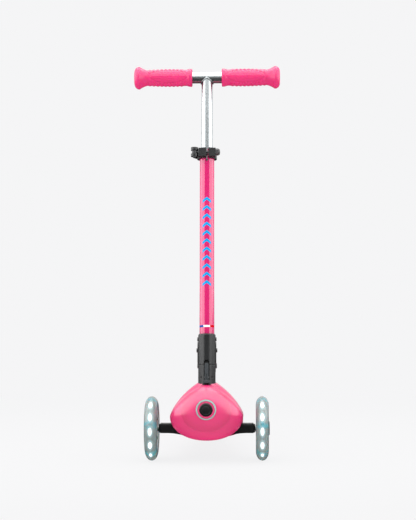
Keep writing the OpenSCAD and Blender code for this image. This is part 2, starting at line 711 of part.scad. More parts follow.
module bearings(z) for (s = [0, 1]) mirror([0, 0, s]) translate([0, 0, z]) {
    ring(bearing_r, 9.3, bearing_w);
    ring(5.8, axle_r, bearing_w);
    for (z = [0.5, bearing_w - 1]) translate([0, 0, z]) ring(9.3, 5.8, 0.5);
}

module hub_cap() difference() {
    union() {
        translate([0, 0, 8.8]) cylinder(r = bearing_r - 0.1, h = 3);
        translate([0, 0, 10.6]) cylinder(r = 14.4, h = 1.4);
        translate([0, 0, 12]) cylinder(r1 = 14.4, r2 = 12, h = 1.8);
    }
    translate([0, 0, 5]) cylinder(r = 8.8, h = 7.6);
}

module tyre_left() color(clear) at_front_wheel(-1) wheel_tyre(front_r, core_r + 0.02, front_tyre_w);
module tyre_right() color(clear) at_front_wheel(1) wheel_tyre(front_r, core_r + 0.02, front_tyre_w);
module core_left() color([0.9, 0.93, 0.94]) at_front_wheel(-1) front_core();
module core_right() color([0.9, 0.93, 0.94]) at_front_wheel(1) front_core();
module lights_left() color("white") at_front_wheel(-1) lights();
module lights_right() color("white") at_front_wheel(1) lights();
module generator_left() color([0.1, 0.35, 0.2]) at_front_wheel(-1) generator();
module generator_right() color([0.1, 0.35, 0.2]) at_front_wheel(1) generator();
module bearings_left() color(steel) at_front_wheel(-1) bearings(1.6);
module bearings_right() color(steel) at_front_wheel(1) bearings(1.6);
module hub_cap_left() color(black) at_front_wheel(-1) hub_cap();
module hub_cap_right() color(black) at_front_wheel(1) hub_cap();

module front_axles() color(steel) for (side = [-1, 1]) at_front_wheel(side) {
    translate([0, 0, -44]) cylinder(r = axle_r - running, h = 44 + 9);
    translate([0, 0, 8.8]) cylinder(r = 6.6, h = 3.2);
}

// Washers beside each front wheel, and the magnet between its bearings that feeds the lights
module axle_magnets() color([0.3, 0.3, 0.32]) for (side = [-1, 1]) at_front_wheel(side) {
    translate([0, 0, -1.4]) ring(7.8, axle_r, 2.8);
    translate([0, 0, -13.3]) ring(6, axle_r, 4.5);
}

// ---------- rear wheel and brake ----------

rear_core_r = rear_r - 11;
module across() { at_rear_axle() rotate([0, 90, 0]) children(); }

module rear_tyre() color([0.86, 0.87, 0.86]) across() wheel_tyre(rear_r, rear_core_r + 0.02, rear_tyre_w);

module rear_core() color(black) across() difference() {
    union() {
        translate([0, 0, -10]) ring(rear_core_r, rear_core_r - 4, 20, $fn = wheel_sides);
        translate([0, 0, -11]) cylinder(r = 14.5, h = 22);
        translate([0, 0, -1.2]) cylinder(r = rear_core_r - 2, h = 2.4);
        for (a = [0:60:300]) rotate(a) translate([0, -2, -8]) cube([rear_core_r - 2, 4, 16]);
    }
    bearing_seat(4);
}

module rear_bearings() color(steel) across() {
    bearings(4);
    translate([0, 0, -3.9]) ring(5.6, axle_r, 7.8);
}

module rear_axle() color(steel) at_rear_axle() {
    along_x(axle_r - running, -tail_w / 2 - 7, tail_w / 2 + 1);
    translate([tail_w / 2 + 0.1, 0, 0]) rotate([0, 90, 0]) cylinder(r = 7, h = 4.4, $fn = 6);
}

module rear_axle_nut() color(steel) at_rear_axle() translate([-tail_w / 2 - 6.2, 0, 0]) rotate([0, 90, 0])
    difference() {
        cylinder(r = 7, h = 6, $fn = 6);
        translate([0, 0, -1]) cylinder(r = axle_r + 0.02, h = 10);
    }

module rear_spacers() color(steel) at_rear_axle() both_sides() difference() {
    along_x(6.5, bearing_w + 4 + 0.1, slot_w / 2 - 0.1);
    along_x(axle_r + 0.02, 0, 30);
}

// An arc of the mudguard about the rear axle, between two angles from straight back
module guard_arc(r0, r1, w, a0, a1) across() rotate([0, 0, 90 + a0])
    rotate_extrude(angle = a1 - a0, $fn = 120) translate([r0, -w / 2]) square([r1 - r0, w]);

module mudguard() color(black) difference() {
    union() {
        guard_arc(guard_in_r, guard_out_r, guard_w, -8, 160);
        for (s = [-1, 1]) translate([s * (guard_w / 2 - 1.5), 0, 0])
            guard_arc(guard_in_r - 4, guard_in_r + 1.5, 2.2, -6, 134);
        at_brake_pin() along_x(brake_barrel_r, -slot_w / 2 + 0.6, slot_w / 2 - 0.6);
    }
    // the foot is narrow enough to go down between the fork's arms
    both_sides() from_front_axle()
        translate([slot_w / 2 - 1, slot_front - 20, 0]) cube([20, 33, tail_top + 10.5]);
    at_brake_pin() {
        along_x(2.55, -30, 30);
        along_x(brake_barrel_r + 0.8, 3.5, 10.5);
    }
}

module brake_pad() color(steel) guard_arc(guard_in_r - 2.2, guard_in_r - 0.02, 20, 62, 100);

module brake_pin() color(steel) at_brake_pin() along_x(2.5, -tail_w / 2 + 2.5, tail_w / 2 - 2.5);

// ---------- steering lock ----------

module lock_button() color(black) from_front_axle() translate([0, 0, button_z]) rotate([-90, 0, 0]) {
    r = button_d / 2;
    rotate_extrude() polygon(concat([[0, -46], [r, -46]],
        [for (a = [0:15:90]) [r - 3 + 3 * cos(a), -nose_front - 0.2 - 1.6 * sin(a)]],
        [[0, -nose_front - 2.2]]));
}

// The plunger straddles the upper kingpin boss with two fingers that point at the beam
module lock_plunger() color([0.75, 0.76, 0.78]) from_front_axle() {
    translate([0, 0, button_z]) along_y(4, -45.9, -24);
    translate([-17, -28, button_z - 4]) cube([34, 6, 8]);
    both_sides() {
        translate([13, -28, king_z]) cube([4, 6, button_z - king_z]);
        translate([13, -28, king_z - 4]) cube([4, 10, 8]);
    }
}

module lock_spring() color(steel) from_front_axle()
    translate([0, -44.6, button_z]) rotate([-90, 0, 0]) coil(6.2, 9.2, 4, 0.7);

module brake_spring() color(steel) at_brake_pin() translate([4.4, 0, 0]) rotate([0, 90, 0])
    coil(3.7, 5.2, 4, 0.5);

// ---------- choice of node ----------

deck_shell();
tread_pad();
button_ring();
hinge_base();
base_bolts();
hinge_pin();
kingpin();
kingpin_nut();
steer_spring_left();
steer_spring_right();
rear_axle();
rear_axle_nut();
rear_spacers();
brake_pin();
brake_spring();
latch_pin();
latch_spring();
lock_spring();
steer_beam();
kingpin_bushes();
front_axles();
axle_magnets();
tyre_left();
core_left();
lights_left();
generator_left();
bearings_left();
hub_cap_left();
tyre_right();
core_right();
lights_right();
generator_right();
bearings_right();
hub_cap_right();
rear_tyre();
rear_core();
rear_bearings();
tube_socket();
lower_tube();
socket_bolts();
guide_sleeve();
clamp_collar();
clamp_bolt();
clamp_nut();
cam_pin();
clamp_lever();
stem_tube();
crossbar();
grip_left();
grip_right();
height_catch();
stem_plug();
mudguard();
brake_pad();
fold_latch();
lock_button();
lock_plunger();
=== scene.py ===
"""Finished look of the folding three-wheeled kick scooter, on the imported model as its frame."""

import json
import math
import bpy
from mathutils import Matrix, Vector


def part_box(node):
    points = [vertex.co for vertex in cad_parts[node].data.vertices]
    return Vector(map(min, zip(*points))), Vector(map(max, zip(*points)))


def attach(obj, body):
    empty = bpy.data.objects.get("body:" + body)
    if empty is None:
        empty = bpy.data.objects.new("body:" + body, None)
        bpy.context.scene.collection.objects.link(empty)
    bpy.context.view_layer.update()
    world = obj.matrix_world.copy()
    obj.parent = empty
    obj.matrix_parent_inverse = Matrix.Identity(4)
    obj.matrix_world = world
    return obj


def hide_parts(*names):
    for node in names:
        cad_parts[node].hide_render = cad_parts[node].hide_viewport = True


bl_info = {
    "name": "Kick scooter finish",
    "version": (1, 0, 0),
    "blender": (4, 5, 0),
    "location": "View3D > Sidebar > Scooter",
    "description": "Builds the moulded, rubber and metal pieces of a small kick scooter and their finishes",
    "category": "Object",
}

import bmesh
import bpy
from bpy.props import FloatProperty, FloatVectorProperty, IntProperty, PointerProperty
from mathutils import Matrix, Vector, noise

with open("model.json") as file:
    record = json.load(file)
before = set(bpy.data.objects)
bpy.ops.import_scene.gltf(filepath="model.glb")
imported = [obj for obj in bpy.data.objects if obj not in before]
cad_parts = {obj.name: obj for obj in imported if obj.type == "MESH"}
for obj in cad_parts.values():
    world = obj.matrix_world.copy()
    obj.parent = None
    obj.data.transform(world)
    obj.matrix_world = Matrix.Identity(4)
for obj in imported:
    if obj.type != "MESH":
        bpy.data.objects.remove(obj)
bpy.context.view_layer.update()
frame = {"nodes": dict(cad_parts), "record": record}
NODES = frame["nodes"]
MM = 0.001


def middle(node):
    low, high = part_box(node)
    return (Vector(low) + Vector(high)) / 2


# Sizes that the looks share with the frame, in millimetres. Distances run back from the front axle.
FRONT_AXLE = middle("tyre_right")
TRACK = 2 * FRONT_AXLE.x / MM
FRONT_R = FRONT_AXLE.z / MM
REAR_R = middle("rear_tyre").z / MM
WHEELBASE = (middle("rear_tyre").y - FRONT_AXLE.y) / MM
NOSE_W = 137.0
NOSE_TOP = 153.0
NOSE_WIDEST = 86.0
NOSE_BOTTOM = 40.0
NOSE_FRONT = 58.0
NOSE_RIM = 24.0
NOSE_TIP = 97.0
NOSE_POWER = 1.37
NOSE_FALL = 8.0
DECK_W = 128.0
DECK_TOP = 68.0
DECK_BOTTOM = 40.0
WALL = 4.5
WAIST_W = 74.0
TAIL_W = 57.0
TAIL_TOP = REAR_R + 21
TAIL_BOTTOM = REAR_R - 13
TAIL_END = WHEELBASE + 17
SLOT_W = 30.0
SLOT_FRONT = WHEELBASE - REAR_R - 14
TAIL_START = SLOT_FRONT - 21
BAY = (-25.0, 28.0, max(DECK_TOP + 16, FRONT_R + 23.5))
BULKHEAD = 34.0
PAD = (138.0, SLOT_FRONT - 8, DECK_TOP - 2.5, 10.0)
BUTTON_Z = 100.5
BUTTON_R = 12.2
NECK_HALF_W = 16.25
NECK_STEP = 4.0
NECK_HALF = NECK_HALF_W + NECK_STEP
BAR_Z = 557.0
STEM_R = 11.0
TUBE_R = 14.0
BAR_HALF = 141.0
GRIP_LEN = 112.5
GRIP_R = 16.0
FLARE_R = 22.0
TYRE_W = 24.0
CORE_R = FRONT_R - 18.5
REAR_CORE_R = REAR_R - 11
LIGHTS = 14
LIGHT_SPOT = (6.6, 3.1)             # half the length and width of a light's oval
OVAL_MIDDLE = 98.0                  # of the nose's oval face, above the floor
RING_R = (16.1, 18.9)               # of the ring round the button
RING_GROOVE_R = (16.0, 19.0)
KING_R = (4.05, 10.5)               # the kingpin's bore, and the bosses round it
SPRING_X = 34.0
CHEVRON_HALF = 8.8
CHEVRON_RISE = 6.4
CHEVRON_TALL = 5.6
CHEVRONS_Z = (146.0, 322.0)
BAND_Z = (71.1, 74.9)
PRINT_R = TUBE_R + 0.05
STUD_PITCH = (8.5, 6.2)             # across the deck, and from row to row
KING_Z = DECK_TOP - 2
SPRING_Z = (KING_Z + 6.8, KING_Z + 37)
BASE_BOLT_Z = -49.5
SOCKET_BOLT_Z = (28.0, 49.0)

# Placements, from millimetres in a piece's own axes to metres in the frame
BASE = Matrix.Translation((0, FRONT_AXLE.y, 0)) @ Matrix.Scale(MM, 4)
COLUMN = BASE @ Matrix.Translation((0, 8, 178.5)) @ Matrix.Rotation(math.radians(-8), 4, "X")
KINGPIN = BASE @ Matrix.Translation((0, 0, KING_Z)) @ Matrix.Rotation(math.radians(45), 4, "X")
REAR_AXLE = BASE @ Matrix.Translation((0, WHEELBASE, REAR_R))
BRAKE_PIN = BASE @ Matrix.Translation((0, SLOT_FRONT + 6, REAR_R + 14))
ALONG_X = Matrix.Rotation(math.radians(90), 4, "Y")
ALONG_Y = Matrix.Rotation(math.radians(-90), 4, "X")


# ---------- sizes and colours that a user would change ----------

def length(name, text, value, low, high):
    return FloatProperty(name=name, description=text, default=value, min=low, max=high, subtype="DISTANCE",
                         unit="LENGTH", precision=4)


def colour(name, text, value):
    return FloatVectorProperty(name=name, description=text, default=value, size=3, min=0.0, max=1.0,
                               subtype="COLOR")


class ScooterShell(bpy.types.PropertyGroup):
    colour: colour("Shell pink", "Colour of the moulded nose and deck", (0.37, 0.001, 0.070))
    tread_colour: colour("Tread pink", "Colour of the soft tread pad", (0.33, 0.004, 0.050))
    crease: length("Crease depth", "How far the nose's oval face stands forward of its rim",
                   0.0009, 0.0, 0.002)
    stud: length("Stud height", "How far the tread's studs stand above the pad", 0.0005, 0.0, 0.001)


class ScooterColumn(bpy.types.PropertyGroup):
    paint: colour("Tube pink", "Colour of the painted lower tube", (0.30, 0.0, 0.062))
    mark: colour("Mark cyan", "Colour of the chevrons on the lower tube", (0.0, 0.16, 0.34))
    chevrons: IntProperty(name="Chevrons", description="How many chevrons run up the lower tube", default=11,
                          min=3, max=16)
    black: colour("Fittings black", "Colour of the neck, clamp and beam", (0.002, 0.0025, 0.003))


class ScooterGrip(bpy.types.PropertyGroup):
    colour: colour("Grip pink", "Colour of the soft grips", (0.34, 0.003, 0.068))
    ribs: IntProperty(name="Ribs", description="How many finger ribs run round each grip", default=9,
                      min=4, max=14)
    rib_height: length("Rib height", "How far the finger ribs stand out", 0.0011, 0.0, 0.002)


class ScooterWheel(bpy.types.PropertyGroup):
    tyre: colour("Tyre tint", "Tint of the translucent tyres", (0.105, 0.130, 0.128))
    glow: colour("Light", "Colour of the wheel lights", (0.95, 1.0, 0.99))
    strength: FloatProperty(name="Light strength", description="Brightness of the wheel lights", default=1.6,
                            min=0.0, max=10.0)


class ScooterStage(bpy.types.PropertyGroup):
    floor: colour("Floor", "Colour of the pale floor and backdrop", (0.913, 0.913, 0.921))
    distance: length("Distance", "From the front axle to the camera", 2.9, 1.0, 8.0)
    height: length("Height", "Of the camera above the floor", 0.377, 0.0, 2.0)
    shift: length("Shift", "Of the camera's aim across the scooter", 0.0030, -0.5, 0.5)
    turn: FloatProperty(name="Turn", description="How far the camera has gone round the scooter",
                        default=math.radians(1.7), subtype="ANGLE", unit="ROTATION")
    roll: FloatProperty(name="Roll", description="Tilt of the camera about its own axis",
                        default=math.radians(0.2), subtype="ANGLE", unit="ROTATION")
    lens: FloatProperty(name="Lens", description="Focal length on a 36 mm sensor", default=106.7,
                        min=20, max=300, subtype="DISTANCE_CAMERA")


GROUPS = (ScooterShell, ScooterColumn, ScooterGrip, ScooterWheel, ScooterStage)
SETTINGS = ("scooter_shell", "scooter_column", "scooter_grip", "scooter_wheel", "scooter_stage")


# ---------- shared shader effects ----------

class Net:
    """Adds nodes to a tree and joins them by name."""

    def __init__(self, tree):
        self.tree = tree

    def add(self, kind, inputs=None, **settings):
        node = self.tree.nodes.new(kind)
        for key, value in settings.items():
            setattr(node, key, value)
        for key, value in (inputs or {}).items():
            socket = node.inputs[key]
            if isinstance(value, bpy.types.NodeSocket):
                self.tree.links.new(value, socket)
            else:
                socket.default_value = value
        return node

    def maths(self, operation, *values, clamp=False):
        return self.add("ShaderNodeMath", dict(enumerate(values)), operation=operation,
                        use_clamp=clamp).outputs[0]

    def mix(self, factor, a, b):
        node = self.add("ShaderNodeMix", {0: factor}, data_type="RGBA", clamp_factor=True)
        for socket, value in ((node.inputs[6], a), (node.inputs[7], b)):
            if isinstance(value, bpy.types.NodeSocket):
                self.tree.links.new(value, socket)
            else:
                socket.default_value = (*value[:3], 1.0)
        return node.outputs[2]

    def span(self, value, low, high, to_low=0.0, to_high=1.0, smooth=True):
        return self.add("ShaderNodeMapRange", {0: value, 1: low, 2: high, 3: to_low, 4: to_high},
                        interpolation_type="SMOOTHSTEP" if smooth else "LINEAR").outputs[0]

    def noise(self, where, scale, detail=3.0, rough=0.55):
        return self.add("ShaderNodeTexNoise", {"Vector": where, "Scale": scale, "Detail": detail,
                                               "Roughness": rough}).outputs["Fac"]

    def stretched(self, where, amounts):
        return self.add("ShaderNodeVectorMath", {0: where, 1: amounts}, operation="MULTIPLY").outputs[0]


def effect(name, inputs, outputs, draw):
    """A shader node group with named sockets, made once."""
    tree = bpy.data.node_groups.get(name)
    if tree:
        return tree
    tree = bpy.data.node_groups.new(name, "ShaderNodeTree")
    for label, value in inputs:
        socket = tree.interface.new_socket(label, in_out="INPUT", socket_type="NodeSocketFloat")
        socket.default_value = value
    for label, kind in outputs:
        tree.interface.new_socket(label, in_out="OUTPUT", socket_type=kind)
    net = Net(tree)
    source, sink = net.add("NodeGroupInput"), net.add("NodeGroupOutput")
    for label, value in draw(net, source.outputs).items():
        tree.links.new(value, sink.inputs[label])
    return tree


def moulded_grain():
    """The fine pebble of a mould's texture, and the slow drift of shade that moulded plastic has."""
    def draw(net, given):
        where = net.add("ShaderNodeTexCoord").outputs["Object"]
        cells = net.add("ShaderNodeTexVoronoi", {"Vector": where, "Scale": given["Scale"]})
        pebble = cells.outputs["Distance"]
        fine = net.noise(where, net.maths("MULTIPLY", given["Scale"], 2.3), 2.0)
        height = net.maths("MULTIPLY", net.maths("ADD", pebble, fine), given["Depth"])
        drift = net.noise(where, 18.0, 4.0)
        rough = net.maths("MULTIPLY", net.maths("SUBTRACT", drift, 0.5), given["Drift"])
        return {"Height": height, "Drift": net.maths("SUBTRACT", drift, 0.5), "Roughness": rough}
    return effect("Moulded grain", [("Scale", 900.0), ("Depth", 0.3), ("Drift", 0.15)],
                  [(label, "NodeSocketFloat") for label in ("Height", "Drift", "Roughness")], draw)


def edge_wear():
    """Rounds the shading at edges, and marks the edges that hands and kerbs rub."""
    def draw(net, given):
        rounded = net.add("ShaderNodeBevel", {"Radius": given["Radius"]}, samples=4).outputs[0]
        plain = net.add("ShaderNodeNewGeometry").outputs["Normal"]
        dot = net.add("ShaderNodeVectorMath", {0: rounded, 1: plain}, operation="DOT_PRODUCT")
        turned = dot.outputs["Value"]
        where = net.add("ShaderNodeTexCoord").outputs["Object"]
        patchy = net.span(net.noise(where, 55.0, 5.0, 0.7), 0.42, 0.68)
        mask = net.maths("MULTIPLY", net.span(turned, 0.985, 0.86), patchy)
        return {"Mask": net.maths("MULTIPLY", mask, given["Amount"], clamp=True), "Normal": rounded}
    return effect("Edge wear", [("Radius", 0.0006), ("Amount", 0.5)],
                  [("Mask", "NodeSocketFloat"), ("Normal", "NodeSocketVector")], draw)


def settled_dust():
    """A thin uneven film on what faces up, and fine specks."""
    def draw(net, given):
        normal = net.add("ShaderNodeNewGeometry").outputs["Normal"]
        upward = net.span(net.add("ShaderNodeSeparateXYZ", {0: normal}).outputs[2], 0.25, 0.95)
        where = net.add("ShaderNodeTexCoord").outputs["Object"]
        cloud = net.span(net.noise(where, 30.0, 5.0, 0.65), 0.35, 0.75)
        specks = net.span(net.noise(where, 700.0, 2.0, 0.5), 0.68, 0.78)
        film = net.maths("MULTIPLY", upward, net.maths("ADD", net.maths("MULTIPLY", cloud, 0.6), specks))
        return {"Mask": net.maths("MULTIPLY", film, given["Amount"], clamp=True)}
    return effect("Settled dust", [("Amount", 0.2)], [("Mask", "NodeSocketFloat")], draw)


def hairline_scratches():
    """Short fine scratches in two directions."""
    def draw(net, given):
        where = net.add("ShaderNodeTexCoord").outputs["Object"]
        total = None
        for amounts, low in (((40, 900, 120), 0.66), ((700, 60, 160), 0.67)):
            lines = net.span(net.noise(net.stretched(where, amounts), 1.0, 3.0, 0.6), low, low + 0.05)
            total = lines if total is None else net.maths("MAXIMUM", total, lines)
        return {"Mask": net.maths("MULTIPLY", total, given["Amount"], clamp=True)}
    return effect("Hairline scratches", [("Amount", 0.3)], [("Mask", "NodeSocketFloat")], draw)


def drawn_lines():
    """The long faint lines left on drawn, turned or polished metal, along one axis."""
    def draw(net, given):
        where = net.add("ShaderNodeTexCoord").outputs["Object"]
        along = net.add("ShaderNodeCombineXYZ", {k: given[f"Along {axis}"] for k, axis in enumerate("XYZ")})
        lines = net.noise(net.stretched(where, along.outputs[0]), 1.0, 4.0, 0.6)
        return {"Lines": lines, "Roughness": net.maths("MULTIPLY", net.maths("SUBTRACT", lines, 0.5), 0.22)}
    return effect("Drawn lines", [("Along X", 900.0), ("Along Y", 900.0), ("Along Z", 9.0)],
                  [("Lines", "NodeSocketFloat"), ("Roughness", "NodeSocketFloat")], draw)


# ---------- finishes ----------

def place(net, tree, **inputs):
    return net.add("ShaderNodeGroup", inputs, node_tree=tree).outputs


def finish(name, base, rough, grain=(900.0, 0.3), bump=0.0002, wear=(0.0006, 0.4), worn=None, dust=0.15,
           scratch=0.2, metallic=0.0, lines=None, drift=0.12, coat=(0.0, 1.5, 0.12), specular=0.5, sheen=0.0,
           subsurface=0.0, extra=None):
    """A Principled material with grain, drifting shade, worn edges, scratches and dust."""
    old = bpy.data.materials.get(name)
    if old:
        return old
    mat = bpy.data.materials.new(name)
    mat.use_nodes = True
    mat.diffuse_color = (*base, 1.0)
    mat.node_tree.nodes.clear()
    net = Net(mat.node_tree)
    out = net.add("ShaderNodeOutputMaterial")
    shader = net.add("ShaderNodeBsdfPrincipled", {"Metallic": metallic, "Coat Weight": coat[0],
                                                  "Coat IOR": coat[1], "Coat Roughness": coat[2],
                                                  "Specular IOR Level": specular, "Sheen Weight": sheen,
                                                  "Sheen Roughness": 0.45, "Subsurface Weight": subsurface,
                                                  "Subsurface Scale": 0.004})
    net.tree.links.new(shader.outputs[0], out.inputs[0])
    pebble = place(net, moulded_grain(), Scale=grain[0], Depth=grain[1], Drift=drift)
    edge = place(net, edge_wear(), Radius=wear[0], Amount=wear[1])
    film = place(net, settled_dust(), Amount=dust)
    marks = place(net, hairline_scratches(), Amount=scratch)
    shade = net.span(pebble["Drift"], -0.3, 0.3, 0.0, 1.0, smooth=False)
    dark, light = [c * 0.90 for c in base], [min(1.0, c * 1.07 + 0.003) for c in base]
    surface = net.mix(shade, dark, light)
    worn = worn or [min(1.0, c * 1.25 + 0.05) for c in base]
    surface = net.mix(edge["Mask"], surface, worn)
    surface = net.mix(net.maths("MULTIPLY", marks["Mask"], 0.35), surface, worn)
    surface = net.mix(net.maths("MULTIPLY", film["Mask"], 0.5), surface, (0.42, 0.40, 0.38))
    roughness = net.maths("ADD", pebble["Roughness"], rough)
    if lines:
        drawn = place(net, drawn_lines(), **dict(zip(("Along X", "Along Y", "Along Z"), lines)))
        roughness = net.maths("ADD", roughness, drawn["Roughness"])
    for mask, more in ((edge["Mask"], 0.12), (marks["Mask"], 0.18), (film["Mask"], 0.45)):
        roughness = net.maths("ADD", roughness, net.maths("MULTIPLY", mask, more))
    height = pebble["Height"]
    if extra:
        surface, roughness, height = extra(net, shader, surface, roughness, height)
    raised = net.add("ShaderNodeBump", {"Height": height, "Strength": 1.0, "Distance": bump,
                                        "Normal": edge["Normal"]})
    net.tree.links.new(surface, shader.inputs["Base Color"])
    net.tree.links.new(net.maths("MAXIMUM", roughness, 0.04), shader.inputs["Roughness"])
    net.tree.links.new(raised.outputs[0], shader.inputs["Normal"])
    return mat


def around(net, centre):
    """Where a point is about a wheel: angle from straight ahead, distance from the axle, offset across."""
    where = net.add("ShaderNodeTexCoord").outputs["Object"]
    parts = net.add("ShaderNodeSeparateXYZ", {0: net.add(
        "ShaderNodeVectorMath", {0: where, 1: tuple(centre)}, operation="SUBTRACT").outputs[0]}).outputs
    angle = net.maths("ARCTAN2", parts[2], net.maths("MULTIPLY", parts[1], -1.0))
    reach = net.maths("SQRT", net.maths("ADD", net.maths("POWER", net.maths("ABSOLUTE", parts[1]), 2.0),
                                        net.maths("POWER", net.maths("ABSOLUTE", parts[2]), 2.0)))
    return angle, reach, parts[0]


def lit_tyre(centre, strength, glow):
    """Painted light on a translucent tyre: glowing ovals and a lighter halo where the lights inside would
    shine through, fading where the tyre turns from the camera, with a cooler tint between them.
    """
    def extra(net, shader, surface, roughness, height):
        angle, reach, across = around(net, centre)
        step = 2 * math.pi / LIGHTS
        turn = net.maths("MULTIPLY", net.maths("SUBTRACT", net.maths(
            "FRACT", net.maths("ADD", net.maths("DIVIDE", angle, step), 0.5 + LIGHTS)), 0.5), step)
        along = net.maths("DIVIDE", net.maths("MULTIPLY", turn, FRONT_R * MM), LIGHT_SPOT[0] * MM)
        side = net.maths("DIVIDE", across, LIGHT_SPOT[1] * MM)
        oval = net.maths("SQRT", net.maths("ADD", net.maths("MULTIPLY", along, along),
                                           net.maths("MULTIPLY", side, side)))
        where = net.add("ShaderNodeTexCoord").outputs["Object"]
        wobble = net.maths("MULTIPLY", net.maths("SUBTRACT", net.noise(where, 160.0, 2.0), 0.5), 0.35)
        oval = net.maths("ADD", oval, wobble)
        tread = net.span(reach, (FRONT_R - 12) * MM, (FRONT_R - 5) * MM)
        # the painted glow fades where the tyre turns away from the camera
        facing = net.span(net.add("ShaderNodeLayerWeight", {"Blend": 0.5}).outputs["Facing"], 0.62, 0.35)
        tread = net.maths("MULTIPLY", tread, facing)
        # painted light: glowing ovals and their halo, where the lights inside would shine through the tyre
        spot = net.maths("MULTIPLY", net.span(oval, 1.35, 0.40), tread)
        halo = net.maths("MULTIPLY", net.span(oval, 2.3, 0.8), tread)
        beat = net.maths("SINE", net.maths("MULTIPLY_ADD", angle, 6.0, 0.31))
        patchy = net.span(net.noise(where, 120.0, 2.0), 0.3, 0.6)
        bands = net.maths("MULTIPLY", net.span(beat, 0.55, 1.0), patchy)
        tint = net.mix(net.maths("MULTIPLY", bands, 0.85), surface, (0.02, 0.16, 0.19))
        rim = net.span(net.maths("ABSOLUTE", across), 0.008, 0.012)
        tint = net.mix(net.maths("MULTIPLY", rim, 0.30), tint, (0.06, 0.08, 0.09))
        # painted light: the halo and the ovals also lighten the tyre's own colour
        surface = net.mix(net.maths("MULTIPLY", halo, 0.32), tint, (0.20, 0.38, 0.42))
        surface = net.mix(spot, surface, (0.40, 0.42, 0.43))
        shine = net.maths("ADD", spot, net.maths("MULTIPLY", halo, 0.10), clamp=True)
        net.tree.links.new(net.mix(shine, (0.0, 0.0, 0.0), glow), shader.inputs["Emission Color"])
        shader.inputs["Emission Strength"].default_value = strength
        return surface, roughness, height
    return extra


def oval_crease_and_painted_shade(net, shader, surface, roughness, height):
    """The step round the nose's oval face, raised as a bump, with painted shade darkening the face towards
    the step.
    """
    where = net.add("ShaderNodeTexCoord").outputs["Object"]
    x, y, z = net.add("ShaderNodeSeparateXYZ", {0: where}).outputs
    across = net.maths("DIVIDE", x, 0.0475)
    up = net.maths("DIVIDE", net.maths("SUBTRACT", z, OVAL_MIDDLE * MM), 0.0405)
    reach = net.maths("SQRT", net.maths("ADD", net.maths("MULTIPLY", across, across),
                                        net.maths("MULTIPLY", up, up)))
    front = net.span(y, FRONT_AXLE.y - 0.018, FRONT_AXLE.y - 0.030)
    face = net.maths("MULTIPLY", net.span(reach, 1.0, 0.93), front)
    # painted shade: the oval face is darkened towards its rim, inside the step
    shade = net.maths("MULTIPLY", face, net.span(reach, 0.55, 0.97))
    surface = net.mix(net.maths("MULTIPLY", shade, 0.38), surface, (0.26, 0.0, 0.04))
    return surface, roughness, net.maths("ADD", height, net.maths("MULTIPLY", face, 9.0))


def tread_rows(net, shader, surface, roughness, height):
    """Ground-in grey in uneven patches over the tread."""
    where = net.add("ShaderNodeTexCoord").outputs["Object"]
    worn = net.span(net.noise(net.stretched(where, (1.0, 0.5, 1.0)), 14.0, 5.0, 0.7), 0.45, 0.75)
    surface = net.mix(net.maths("MULTIPLY", worn, 0.22), surface, (0.22, 0.12, 0.15))
    return surface, roughness, height


def knurl(net, shader, surface, roughness, height):
    where = net.add("ShaderNodeTexCoord").outputs["Object"]
    cells = net.add("ShaderNodeTexVoronoi", {"Vector": where, "Scale": 620.0}, feature="SMOOTH_F1").outputs[0]
    return surface, roughness, net.maths("ADD", height, net.maths("MULTIPLY", cells, 0.5))


